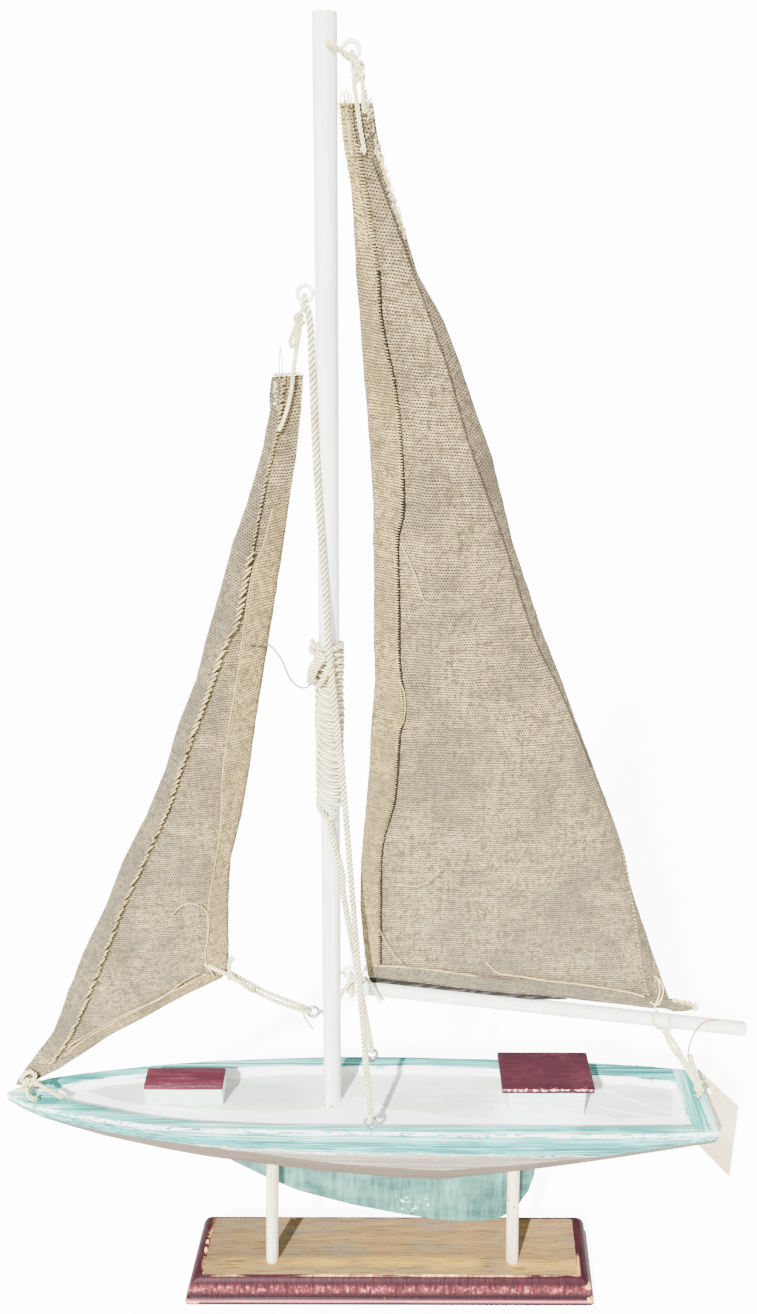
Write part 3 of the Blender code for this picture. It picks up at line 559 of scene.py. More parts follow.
# two thin turns that lie along the boom's near side and meet below it
near = [on_boom(x, a, 0.7)
        for x, a in ((117.2, 152), (117.8, 175), (118.9, 200), (120.2, 225), (121.6, 250), (122.6, 272))]
far = [on_boom(x, a, 0.7)
       for x, a in ((124.4, 152), (124.9, 175), (125.1, 200), (125.0, 225), (124.6, 250), (123.8, 272))]
behind = [on_boom(x, a, 0.7) for x, a in ((123.0, 290), (121.6, 320), (120.6, 350), (120.2, 390))]
ties["clew_lashing"] = rope_piece(
    "clew_tie", twine_mat,
    twine([near[0] + Vector((-0.6, 0.9, 2.2))] + near + behind, 0.0016),
    twine([far[0] + Vector((0.3, 0.9, 2.0))] + far + [far[-1] + Vector((-0.4, 1.2, 0.6))], 0.0016),
    knot((123.3, -0.6, 157.9), 2.6, 0.8, 0.0012))
for cad_name in ("tack_lashing", "clew_lashing"):
    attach(ties[cad_name], "boom_and_mainsail")
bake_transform(ties["main_head_cord"])
for cad_name in ("jib_head_cord", "jib_tack_cord", "jib_sheet"):
    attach(ties[cad_name], "hull_and_stand")
for cad_name, tie in ties.items():
    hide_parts(cad_name)

# --------------------------------------------------------------- main sheet
# The same twine doubled from under the boom down to the stern eye, with two
# knots above the ring, a cut end that stands up, and a fine stray thread.
under = boom_mid(123.2)
sheet_line = [(123.0, 156.4), (125.8, 151.4), (129.0, 145.9), (132.3, 140.3), (135.7, 134.7),
              (139.0, 129.2), (141.9, 124.4)]
near_strand = []
far_strand = []
for n, (x, z) in enumerate(sheet_line):
    apart = (0.50, 0.86, 1.05, 0.72, 0.62, 0.60, 0.62)[n]
    near_strand.append((x - 0.86 * apart, -2.7 + n * 0.10, z - 0.52 * apart))
    far_strand.append((x + 0.86 * apart, -2.1 + n * 0.10, z + 0.52 * apart))
main_sheet = rope_piece(
    "main_sheet_tie", twine_mat,
    twine([(under.x - 0.6, -0.6, under.z - 3.9), (under.x - 0.5, -1.9, under.z - 3.9)] + near_strand[1:],
          0.0021),
    twine([(under.x + 0.6, 0.6, under.z - 3.8), (under.x + 0.5, -1.2, under.z - 3.8)] + far_strand[1:],
          0.0021),
    knot((142.5, -2.0, 124.6), 3.6, 2.2), knot((143.0, -2.2, 122.2), 4.0, 0.9, 0.0017),
    twine(through("eye_stern", (142.8, -2.6, 121.8), (143.4, 0.8, 121.6))),
    cut_end([(143.4, -3.0, 122.0), (142.6, -4.2, 120.6), (141.4, -5.0, 119.4)], 0.0019, 0.4),
    cut_end([(141.6, -2.7, 124.8), (139.4, -3.4, 129.6), (137.0, -3.6, 136.4), (135.3, -3.6, 143.0)],
            0.0016, 0.8),
    twine([(142.6, -2.9, 125.6), (141.0, -3.4, 129.8), (138.4, -3.6, 136.8), (136.6, -3.5, 142.4)],
          0.0016))
stray_mat = spin_cotton("stray_yarn", tint(196, 150, 128), tint(140, 96, 82), tint(80, 60, 48))
stray = rope_piece(
    "stray_thread", stray_mat,
    laid([Vector(p) / 1000 for p in (
              (137.2, -3.5, 137.6), (135.6, -3.7, 141.6), (134.9, -3.8, 144.6), (135.2, -3.8, 150.8),
              (136.7, -3.9, 157.0), (139.3, -4.0, 161.6), (142.1, -4.0, 163.2), (145.0, -3.9, 163.4))],
         0.0008, 0.002, plies=1, sides=6))
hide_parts("main_sheet")
for piece in (main_sheet, stray):
    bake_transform(piece)

# -------------------------------------------------------------- screw eyes
# Eight small screw eyes of 1.5 mm wire. Those on the mast were brushed over
# with the white paint; the ones on the hull are bare or only smeared.
def worn_wire(name, cover):
    """Zinc wire with white paint left on it where the mask is above cover."""
    mat, tree, shader = shader_of(name, rough=0.35, metal=1.0)
    chips = cloudy(tree, (900.0, 900.0, 900.0), detail=4.0)
    paint = window(tree, chips, cover - 0.03, cover + 0.03)
    feed(tree, mixed(tree, paint, tint(178, 176, 168), tint(246, 248, 243)), shader.inputs["Base Color"])
    feed(tree, calc(tree, "SUBTRACT", 1.0, paint), shader.inputs["Metallic"])
    feed(tree, window(tree, paint, 0.0, 1.0, 0.30, 0.65), shader.inputs["Roughness"])
    raised(tree, shader, chips, 0.0001, 0.4)
    return mat


def start_piece(adder, name, **settings):
    """Add a primitive by itself and give it its name."""
    bpy.ops.object.select_all(action="DESELECT")
    adder(**settings)
    made = bpy.context.object
    made.name = name
    return made


def edit_all():
    """Enter edit mode with everything selected."""
    bpy.ops.object.mode_set(mode="EDIT")
    bpy.ops.mesh.select_all(action="SELECT")


def round_edges(obj, width, segments, degrees):
    """Bevel modifier on the edges sharper than an angle."""
    rounding = obj.modifiers.new("rounding", "BEVEL")
    rounding.width = width
    rounding.segments = segments
    rounding.limit_method = "ANGLE"
    rounding.angle_limit = math.radians(degrees)


def settle(obj):
    """Put the piece's place into its mesh."""
    bpy.ops.object.select_all(action="DESELECT")
    obj.select_set(True)
    bpy.context.view_layer.objects.active = obj
    bpy.ops.object.transform_apply(location=True, rotation=True, scale=True)
    return obj


painted_wire = worn_wire("painted_wire", 0.36)
bare_wire = worn_wire("bare_wire", 0.66)
eye_mats = {"eye_masthead": painted_wire, "eye_jib_halyard": painted_wire, "eye_jib_sheet": bare_wire,
            "eye_gooseneck": painted_wire, "eye_rail_port": bare_wire, "eye_rail_starboard": bare_wire,
            "eye_stern": bare_wire, "eye_bow": bare_wire}
for name, wire_mat in eye_mats.items():
    low, high = (Vector(v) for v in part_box(name))
    centre = ring(name)
    upright = high.z - low.z > high.x - low.x
    if upright:
        to = Vector((0, 0, -1))
        tip = Vector((centre.x, centre.y, low.z))
    else:
        to = Vector((-1, 0, 0)) if centre.x > mast_x(centre.z) else Vector((1, 0, 0))
        tip = Vector((low.x if to.x < 0 else high.x, centre.y, centre.z))
    eye = start_piece(bpy.ops.mesh.primitive_circle_add, name.replace("eye_", "") + "_screw_eye", vertices=12,
                      radius=WIRE / 2, fill_type="NGON", location=centre + to * RING,
                      rotation=(0, 0, 0) if not upright else (0, math.pi / 2, 0))
    settle(eye)
    edit_all()
    bpy.ops.mesh.spin(steps=34, angle=math.radians(344), center=centre, axis=(0, 1, 0))
    bpy.ops.mesh.select_all(action="DESELECT")
    bpy.ops.mesh.primitive_cylinder_add(vertices=12, radius=WIRE / 2, depth=(tip - centre).length - RING,
                                        end_fill_type="NGON", location=(tip + centre + to * RING) / 2,
                                        rotation=(0, 0, 0) if upright else (0, math.pi / 2, 0))
    bpy.ops.mesh.primitive_cylinder_add(
        vertices=14, radius=WIRE * 0.62, depth=WIRE * 0.9, end_fill_type="NGON",
        location=centre + to * (RING + WIRE * 0.35),
        rotation=(0, 0, 0) if upright else (0, math.pi / 2, 0))
    bpy.ops.mesh.bevel(offset=WIRE * 0.2, segments=2, affect="EDGES")
    bpy.ops.mesh.select_all(action="SELECT")
    bpy.ops.mesh.normals_make_consistent(inside=False)
    bpy.ops.object.mode_set(mode="OBJECT")
    bpy.ops.object.shade_smooth()
    eye.data.materials.append(wire_mat)
    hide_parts(name)
    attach(eye, "hull_and_stand")

# ------------------------------------------------------------------ plinth
# A flat board of pale softwood with a quarter-round moulding mitred round it.
# The top is left bare; the moulding was painted burgundy and rubbed with pink,
# and has chipped at the mitres. The pink band on its bulge and the pale line on
# its bead are partly rubbed paint and partly painted highlight, and its hollow
# and bottom edge are coloured darker as painted shade. The ends run slightly
# out of square.
def shader_group(name, ins, outs):
    """Empty node group with named sockets; returns it with its two ends."""
    group = bpy.data.node_groups.new(name, "ShaderNodeTree")
    for label, kind, value in ins:
        made = group.interface.new_socket(name=label, in_out="INPUT", socket_type=kind)
        if value is not None:
            made.default_value = value
    for label, kind in outs:
        group.interface.new_socket(name=label, in_out="OUTPUT", socket_type=kind)
    return group, group.nodes.new("NodeGroupInput"), group.nodes.new("NodeGroupOutput")


def use_group(tree, group, **values):
    """Outputs of a node group fed with these values."""
    made = tree.nodes.new("ShaderNodeGroup")
    made.node_tree = group
    for label, value in values.items():
        feed(tree, value, made.inputs[label])
    return made.outputs


# long broken strokes of a nearly dry brush, along the vector's X
dry_brush, ends_in, ends_out = shader_group(
    "dry_brush",
    (("Vector", "NodeSocketVector", None), ("Cover", "NodeSocketFloat", 0.5),
     ("Soft", "NodeSocketFloat", 0.05)),
    (("Mask", "NodeSocketFloat"), ("Streak", "NodeSocketFloat")))
hairs = cloudy(dry_brush, ends_in.outputs["Vector"], 1.0, 5.0, 0.62)
patches = cloudy(dry_brush, ends_in.outputs["Vector"], 0.21, 2.0)
streak = calc(dry_brush, "MULTIPLY_ADD", hairs, 0.62, times(dry_brush, patches, 0.38))
cut_off = window(dry_brush, ends_in.outputs["Cover"], 0.0, 1.0, 0.72, 0.28)
mask = window(dry_brush, streak, calc(dry_brush, "SUBTRACT", cut_off, ends_in.outputs["Soft"]),
              plus(dry_brush, cut_off, ends_in.outputs["Soft"]))
dry_brush.links.new(mask, ends_out.inputs["Mask"])
dry_brush.links.new(streak, ends_out.inputs["Streak"])


def strokes_of(tree, scale, cover, soft):
    """Dry brush strokes over the object: their Mask and Streak."""
    return use_group(tree, dry_brush, Vector=place(tree, scale), Cover=cover, Soft=soft)


# softwood seen flat: pale and darker lines along the vector's X
wood_grain, ends_in, ends_out = shader_group("wood_grain", (("Vector", "NodeSocketVector", None),),
                                             (("Line", "NodeSocketFloat"), ("Cloud", "NodeSocketFloat")))
sway = cloudy(wood_grain, ends_in.outputs["Vector"], 0.4, 2.0)
lines = cloudy(wood_grain, ends_in.outputs["Vector"], 1.7, 6.0, 0.7)
wood_grain.links.new(
    calc(wood_grain, "MULTIPLY_ADD", lines, 0.7, times(wood_grain, sway, 0.3)), ends_out.inputs["Line"])
wood_grain.links.new(sway, ends_out.inputs["Cloud"])

plinth_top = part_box("plinth")[1][2]
PLINTH_SKEW = 0.068
BARE_LONG = 0.0927
BARE_WIDE = 0.0162
# half length, half width and height of the moulding's lines, in millimetres
MOULDING = (
    (101.0, 20.8, 0.0), (101.4, 21.1, 0.6), (101.5, 21.2, 1.5), (101.2, 21.0, 2.7), (100.4, 20.4, 3.4),
    (99.4, 19.6, 4.0), (99.5, 19.7, 4.4), (99.9, 20.0, 4.7), (99.95, 20.05, 6.2), (99.8, 20.0, 7.6),
    (99.55, 19.9, 9.2), (99.1, 19.65, 10.6), (98.5, 19.3, 12.0), (97.7, 18.85, 13.2), (96.6, 18.3, 14.2),
    (95.4, 17.6, 14.9), (94.0, 16.9, 15.25), (92.9, 16.4, 15.35))
plinth = start_piece(bpy.ops.mesh.primitive_plane_add, "plinth_board", size=2.0, location=(0, 0, 0))
edit_all()
bpy.ops.mesh.flip_normals()
bpy.ops.transform.resize(value=(MOULDING[0][0] / 1000, MOULDING[0][1] / 1000, 1.0))
bpy.ops.mesh.bevel(offset=0.0016, segments=4, affect="VERTICES")
bpy.ops.mesh.select_all(action="SELECT")
for (l0, w0, z0), (l1, w1, z1) in zip(MOULDING, MOULDING[1:]):
    bpy.ops.mesh.extrude_region_move(TRANSFORM_OT_translate={"value": (0, 0, (z1 - z0) / 1000)})
    bpy.ops.transform.resize(value=(l1 / l0, w1 / w0, 1.0))
bpy.ops.mesh.inset(thickness=0.0003, depth=-0.0003)
bpy.ops.mesh.inset(thickness=0.0003, depth=0.0002)
bpy.ops.mesh.select_all(action="SELECT")
bpy.ops.mesh.normals_make_consistent(inside=False)
bpy.ops.object.mode_set(mode="OBJECT")
for v in plinth.data.vertices:
    v.co.x += v.co.y * PLINTH_SKEW
bpy.ops.object.shade_smooth_by_angle(angle=math.radians(38))


def spot(tree, centre, size, soft=0.5):
    """One inside an oval in space, falling to nothing at its rim; metres."""
    source = tree.nodes.new("ShaderNodeTexCoord")
    mapping = tree.nodes.new("ShaderNodeMapping")
    mapping.inputs["Scale"].default_value = tuple(1 / v for v in size)
    mapping.inputs["Location"].default_value = tuple(-c / v for c, v in zip(centre, size))
    tree.links.new(source.outputs["Object"], mapping.inputs["Vector"])
    length = tree.nodes.new("ShaderNodeVectorMath")
    length.operation = "LENGTH"
    tree.links.new(mapping.outputs["Vector"], length.inputs[0])
    return window(tree, length.outputs["Value"], 1.0, soft)


def band(tree, value, low, high, soft):
    """One between two values, with soft ends."""
    return times(
        tree, window(tree, value, low - soft, low + soft), window(tree, value, high + soft, high - soft))


mat, tree, shader = shader_of("plinth_burgundy", rough=0.55, gloss=0.15)
height = parts_of(tree, place(tree, AS_IS))[2]
grit = cloudy(tree, (420.0, 420.0, 420.0), detail=5.0, rough=0.65)
ripple = cloudy(tree, (760.0, 150.0, 150.0), detail=3.0, rough=0.55)
length_wise = strokes_of(tree, (34.0, 34.0, 1300.0), 0.46, 0.10)
# pink rub on the bulge, partly a painted highlight where light falls on the curve, with bright painted glints
crest_rub_and_highlight = times(tree, band(tree, height, 0.0078, 0.0112, 0.0016), window(tree, ripple, 0.36, 0.64, 0.15, 1.0))
# pale line along the bead: partly rubbed paint, partly painted highlight
bead_rub_and_highlight = times(tree, band(tree, height, 0.0022, 0.0031, 0.0004),
             window(tree, length_wise["Streak"], 0.36, 0.50, 0.15, 1.0))
# painted shade in the hollow under the bulge and along the bottom edge
hollow_shade = calc(
    tree, "MAXIMUM", band(tree, height, 0.0038, 0.0058, 0.0008), window(tree, height, 0.0012, 0.0003))
paint = mixed(tree, window(tree, ripple, 0.35, 0.65), tint(38, 9, 16), tint(56, 18, 26))
paint = layered(
    tree, paint,
    (window(tree, cloudy(tree, (60.0, 60.0, 400.0), detail=3.0), 0.45, 0.65, 0.0, 0.5), tint(38, 11, 19)),
    (times(tree, crest_rub_and_highlight, 0.85), tint(116, 50, 56)),
    (times(tree, crest_rub_and_highlight, window(tree, grit, 0.50, 0.62, 0.0, 0.9)), tint(200, 112, 104)),
    (times(tree, hollow_shade, 0.75), tint(26, 5, 11)),
    (bead_rub_and_highlight, tint(196, 112, 112)))
corner = calc(tree, "MAXIMUM", spot(tree, (0.0968, -0.0186, 0.0110), (0.0030, 0.0030, 0.0026)),
              spot(tree, (0.0990, -0.0205, 0.0034), (0.0036, 0.0030, 0.0018)))
corner = calc(tree, "MAXIMUM", corner, spot(tree, (-0.0995, -0.0205, 0.0020), (0.0060, 0.0030, 0.0010)))
seam = times(tree, window(tree, height, 0.01508, 0.01528), window(tree, length_wise["Streak"], 0.46, 0.56))
end_seam = times(tree, spot(tree, (-0.0940, -0.0020, 0.0152), (0.0011, 0.0130, 0.0010)),
                 window(tree, grit, 0.46, 0.54))
chip = calc(tree, "MAXIMUM", window(tree, calc(tree, "MULTIPLY_ADD", corner, 0.5, grit), 0.80, 0.84),
            calc(tree, "MAXIMUM", seam, end_seam))
chip = calc(tree, "MAXIMUM", chip, window(tree, grit, 0.735, 0.75))
paint = mixed(tree, chip, paint,
              mixed(tree, window(tree, ripple, 0.4, 0.6), tint(196, 128, 84), tint(238, 190, 128)))
dress(tree, shader, paint, window(tree, calc(tree, "MAXIMUM", crest_rub_and_highlight, chip), 0.0, 1.0, 0.52, 0.66),
      plus(tree, ripple, calc(tree, "SUBTRACT", length_wise["Streak"], chip)), 0.0004, 0.6)
plinth.data.materials.append(mat)

mat, tree, shader = shader_of("plinth_softwood", rough=0.65, gloss=0.2)
grain = use_group(tree, wood_grain, Vector=place(tree, (15.0, 190.0, 190.0)))
fine = cloudy(tree, (70.0, 1500.0, 900.0), detail=4.0, rough=0.6)
pore = cloudy(tree, (320.0, 1500.0, 1500.0), detail=3.0, rough=0.6)
smudge = cloudy(tree, (34.0, 90.0, 90.0), detail=4.0, rough=0.6)
tones = parts_of(tree, place(tree, AS_IS))
wood = mixed(tree, window(tree, grain["Line"], 0.36, 0.64), tint(116, 92, 57), tint(144, 115, 68))
wood = mixed(tree, window(tree, smudge, 0.40, 0.62, 0.0, 0.75), wood, tint(112, 100, 80))
front = calc(tree, "MULTIPLY_ADD", grain["Cloud"], 0.010, tones[1])
wood = layered(
    tree, wood,
    (times(tree, band(tree, front, -0.0080, -0.0035, 0.0022),
           window(tree, smudge, 0.62, 0.40, 0.2, 0.85)), tint(196, 156, 66)),
    (window(tree, front, -0.0060, -0.0130, 0.0, 0.45), tint(208, 170, 104)),
    (window(tree, fine, 0.50, 0.66, 0.0, 0.7), tint(72, 55, 36)),
    (window(tree, pore, 0.60, 0.74, 0.0, 0.3), tint(196, 164, 106)),
    (window(tree, tones[1], 0.0125, 0.0165, 0.0, 0.35), tint(66, 50, 34)))
dress(tree, shader, wood, window(tree, fine, 0.3, 0.7, 0.56, 0.76),
      plus(tree, plus(tree, fine, grain["Line"]), pore), 0.00025, 0.6)
plinth.data.materials.append(mat)
for face in plinth.data.polygons:
    x, y, z = face.center
    flat = z > plinth_top - 0.0006 and abs(x - y * PLINTH_SKEW) < BARE_LONG and abs(y) < BARE_WIDE
    face.material_index = 1 if flat else 0
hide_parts("plinth")
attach(plinth, "hull_and_stand")

# ------------------------------------------------------------- stand posts
# Two 6 mm dowels, painted a warm off-white with a few thin strokes along them,
# pushed into holes in the board and in the underside of the hull.
def painted_rim_shade(tree, paint, tone, share):
    """Painted shade toward the outline, where a round rod turns away from view."""
    turned = tree.nodes.new("ShaderNodeLayerWeight")
    turned.inputs["Blend"].default_value = 0.5
    return mixed(tree, window(tree, turned.outputs["Facing"], 0.62, 0.98, 0.0, share), paint, tone)


mat, tree, shader = shader_of("post_paint", rough=0.6, gloss=0.3)
stroke = strokes_of(tree, (900.0, 900.0, 26.0), 0.5, 0.12)
paint = mixed(tree, stroke["Mask"], tint(206, 184, 152), tint(247, 240, 206))
paint = mixed(tree, window(tree, cloudy(tree, (500.0, 500.0, 160.0), detail=4.0), 0.66, 0.70), paint,
              tint(120, 98, 74))
# painted shade darkens the dowel toward its outline
dress(tree, shader, painted_rim_shade(tree, paint, tint(150, 132, 116), 0.5),
      window(tree, stroke["Streak"], 0.3, 0.7, 0.52, 0.70), stroke["Streak"], 0.00025, 0.5)
POST_R = 0.003
for name in ("stand_post_fore", "stand_post_aft"):
    low, high = (Vector(v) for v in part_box(name))
    foot_out = low.x + POST_R if low.x < 0 else high.x - POST_R
    head_out = high.x - POST_R if low.x < 0 else low.x + POST_R
    foot_at = Vector((foot_out, (low.y + high.y) / 2, low.z))
    head_at = Vector((head_out, foot_at.y, high.z))
    line = head_at - foot_at
    post = start_piece(bpy.ops.mesh.primitive_cylinder_add, name.replace("stand_", "") + "_dowel",
                       vertices=40, radius=POST_R, depth=line.length, location=(foot_at + head_at) / 2,
                       rotation=(0, math.atan2(line.x, line.z), 0))
    settle(post)
    edit_all()
    for z in np.linspace(low.z, high.z, 14)[1:-1]:
        bpy.ops.mesh.bisect(plane_co=(0, 0, z), plane_no=(0, 0, 1))
        bpy.ops.mesh.select_all(action="SELECT")
    bpy.ops.object.mode_set(mode="OBJECT")
    for v in post.data.vertices:
        sway = noise.noise(v.co * 35) * 0.00012
        v.co.x += sway
        v.co.y += sway * 0.6
    bpy.ops.object.shade_smooth_by_angle(angle=math.radians(50))
    post.data.materials.append(mat)
    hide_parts(name)
    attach(post, "hull_and_stand")

# -------------------------------------------------------------------- hull
# One carved block of softwood with a shallow sunk deck. The rail and the
# sides were brushed with aqua over pale primer, which shows below a wavy
# paint line; the deck is white with a thin grey wash in the middle. Below the
# chine the underside is coloured dark taupe as painted shade.
def worked_copy(cad_name, name):
    """Copy of a CAD node's mesh, merged, ready for edit mode."""
    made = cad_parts[cad_name].copy()
    made.data = made.data.copy()
    made.name = name
    made.data.name = name
    made.hide_render = False
    made.hide_viewport = False
    made.data.materials.clear()
    bpy.context.scene.collection.objects.link(made)
    bpy.ops.object.select_all(action="DESELECT")
    made.select_set(True)
    bpy.context.view_layer.objects.active = made
    edit_all()
    bpy.ops.mesh.remove_doubles(threshold=0.00001)
    bpy.ops.object.mode_set(mode="OBJECT")
    return made


hull = worked_copy("hull", "carved_hull")
HULL_VOXEL = 0.00085
hull.data.remesh_voxel_size = HULL_VOXEL
bpy.ops.object.voxel_remesh()
edit_all()
bpy.ops.mesh.vertices_smooth(factor=0.5, repeat=5)
bpy.ops.object.mode_set(mode="OBJECT")
bpy.ops.object.shade_smooth()

# lines of the paintwork, in millimetres: x with a height or a distance across
PAINT_EDGE = ((-200, 100.0), (-112.4, 105.6), (-89.0, 104.5), (-60.9, 103.1), (-27.0, 102.3),
              (18.8, 102.7), (64.0, 102.0), (98.1, 101.5), (150, 100))
CHINE = ((-182, 113.8), (-165, 110.8), (-150, 108.8), (-135, 107.8), (-120, 107.1), (-107, 106.3),
         (-88, 104.2), (-60, 99.8), (-28, 95.0), (0, 92.7), (22, 91.7), (46, 94.2), (67, 97.2),
         (86, 100.1), (101, 102.5), (123, 106.4), (148, 110.4))
RIM_PORT = ((-160.8, 1.6), (-156, -2.8), (-150, -4.6), (-144, -6.2), (-135, -8.2), (-125, -10.8),
            (-115, -12.9), (-104, -14.7), (-89, -16.4), (-56, -18.2), (-11, -18.6), (28, -18.6),
            (66, -18.6), (100, -18.6), (123, -18.3), (135.3, -18.0))
RIM_STARBOARD = ((-160.8, 1.6), (-156, 5.2), (-150, 7.0), (-144, 8.3), (-135, 9.9), (-125, 11.6),
                 (-115, 12.9), (-104, 14.1), (-89, 15.3), (-56, 17.0), (-11, 17.9), (28, 16.8),
                 (66, 14.7), (100, 12.1), (123, 9.9), (135.3, 8.0))
WASH_PORT = ((-149.5, 4.8), (-133, -0.8), (-115.8, -4.1), (-81.1, -7.4), (-49.7, -8.5), (-34.5, -5.1),
             (-22.9, -0.4), (-15.9, 2.1), (-7.3, -2.8), (-1.9, -6.5), (9.5, -7.1), (21.3, -9.5),
             (30.3, -11.3), (41.9, -10.9), (51.1, -2.6), (59.5, -2.6), (93.5, -9.2), (101.3, -11.0),
             (119.8, -11.0), (129.4, -9.7), (134, 9.0))
WASH_STARBOARD = ((-149.5, 4.8), (-147.3, 5.5), (-135.1, 8.7), (-117.5, 12.0), (-78.1, 13.8),
                  (-57.4, 15.5), (-34.6, 16.3), (4.3, 16.0), (28.7, 15.6), (46.6, 14.9), (97.7, 11.1),
                  (113.1, 9.9), (124.9, 8.3), (134, 7.0))
SHEER_PORT = ((-182.5, -1.2), (-175, -5.5), (-165, -9.3), (-150, -13.0), (-135, -16.2), (-120, -18.9),
              (-107, -20.9), (-88, -22.1), (-60, -22.6), (-28, -23.3), (0, -23.7), (22, -24.2),
              (46, -24.5), (67, -24.8), (86, -25.0), (101, -25.0), (123, -24.5), (148, -23.3))
RECESS_AFT = 135.3
RECESS_LOW = 107.0
WASH_FORE = -149.5
WASH_AFT = 133.5


def along_x(table, x, column=1):
    """Value of a table at x, between its rows; x is the first column."""
    return np.interp(x, [p[0] for p in table], [p[column] for p in table])


count = len(hull.data.vertices)
points = np.empty(count * 3, dtype=np.float32)
hull.data.vertices.foreach_get("co", points)
x, y, z = (points.reshape(-1, 3) * 1000).T
inside = np.minimum(y - along_x(RIM_PORT, x), along_x(RIM_STARBOARD, x) - y)
inside = np.minimum(inside, RECESS_AFT - x)
inside = np.where(z > RECESS_LOW, inside, -5.0)
washed = np.minimum(y - along_x(WASH_PORT, x), along_x(WASH_STARBOARD, x) - y)
washed = np.minimum(washed, np.minimum(x - WASH_FORE, WASH_AFT - x))
corner = np.hypot(y - along_x(SHEER_PORT, x), z - rail_z * 1000 + 0.6)
# long lines left in the wash by the brush: two ends, as x and y
BRUSH_LINES = (((98.5, 7.0), (134.0, -10.8)), ((106.0, 10.2), (133.0, 12.2)), ((97.0, -5.0), (128.0, -11.8)),
               ((60.0, -13.0), (96.0, -11.6)), ((-60.0, -9.0), (-20.0, -5.5)))
ridge = np.full(count, 9.0)
for (x0, y0), (x1, y1) in BRUSH_LINES:
    t = np.clip(((x - x0) * (x1 - x0) + (y - y0) * (y1 - y0)) / ((x1 - x0) ** 2 + (y1 - y0) ** 2), 0.0, 1.0)
    ridge = np.minimum(ridge, np.hypot(x - x0 - t * (x1 - x0), y - y0 - t * (y1 - y0)))
for label, values in (("in_deck", inside), ("in_wash", washed), ("below_paint", along_x(PAINT_EDGE, x) - z),
                      ("below_chine", along_x(CHINE, x) - z), ("off_corner", corner), ("off_ridge", ridge)):
    layer = hull.data.attributes.new(label, "FLOAT", "POINT")
    layer.data.foreach_set("value", values.astype(np.float32))


def marked(tree, label):
    """Value kept on the mesh's points under a label."""
    made = tree.nodes.new("ShaderNodeAttribute")
    made.attribute_name = label
    return made.outputs["Fac"]


mat, tree, shader = shader_of("hull_paint", rough=0.6, gloss=0.3)
x_at = parts_of(tree, place(tree, AS_IS))[0]
broad = strokes_of(tree, (7.0, 380.0, 520.0), 0.42, 0.07)
thin = strokes_of(tree, (13.0, 1000.0, 1300.0), 0.40, 0.05)
hair = cloudy(tree, (20.0, 1500.0, 1900.0), detail=2.0, rough=0.5)
round_stern = strokes_of(tree, (620.0, 24.0, 500.0), 0.46, 0.09)
blot = cloudy(tree, (55.0, 90.0, 130.0), detail=3.0)
grit = cloudy(tree, (700.0, 900.0, 1100.0), detail=4.0, rough=0.6)
dab = cloudy(tree, (230.0, 900.0, 1000.0), detail=4.0, rough=0.6)
aqua = mixed(tree, window(tree, broad["Streak"], 0.42, 0.56), tint(40, 118, 113), tint(50, 162, 153))
aqua = layered(
    tree, aqua,
    (window(tree, blot, 0.46, 0.64, 0.0, 0.6), tint(66, 196, 186)),
    (window(tree, thin["Streak"], 0.46, 0.40, 0.0, 0.8), tint(38, 84, 82)),
    (window(tree, hair, 0.53, 0.60, 0.0, 0.6), tint(110, 214, 203)))
pale = times(tree, broad["Mask"], window(tree, hair, 0.40, 0.52, 0.1, 0.9))
aqua = mixed(tree, times(tree, pale, window(tree, x_at, -0.01, 0.07, 1.0, 0.3)), aqua, tint(200, 242, 233))
low_side = times(tree, window(tree, marked(tree, "off_corner"), 2.6, 7.0, 0.0, 0.85),
                 window(tree, x_at, -0.02, 0.09, 0.35, 1.0))
aqua = mixed(tree, times(tree, low_side, window(tree, hair, 0.56, 0.46)), aqua, tint(36, 92, 88))
stern_end = window(tree, calc(tree, "MULTIPLY_ADD", blot, 0.002, x_at), 0.1362, 0.1378)
swept = mixed(tree, window(tree, round_stern["Streak"], 0.36, 0.62), tint(44, 134, 126), tint(92, 216, 206))
swept = mixed(tree, times(tree, round_stern["Mask"], 0.8), swept, tint(226, 246, 240))
aqua = mixed(tree, stern_end, aqua, swept)
off = plus(tree, marked(tree, "off_corner"), times(tree, thin["Streak"], 1.4))
stroke = strokes_of(tree, (16.0, 900.0, 1100.0), 0.40, 0.03)
edge = times(tree, window(tree, off, 2.1, 1.5), window(tree, dab, 0.44, 0.49))
edge = calc(tree, "MAXIMUM", edge, times(tree, window(tree, off, 6.0, 2.6, 0.0, 0.8), stroke["Mask"]))
aqua = mixed(tree, edge, aqua, tint(240, 250, 247))
primer = mixed(tree, window(tree, broad["Streak"], 0.38, 0.62), tint(120, 112, 97), tint(176, 168, 148))
primer = layered(
    tree, primer,
    (window(tree, dab, 0.62, 0.72, 0.0, 0.5), tint(226, 222, 208)),
    (window(tree, grit, 0.62, 0.70, 0.0, 0.6), tint(116, 92, 68)))
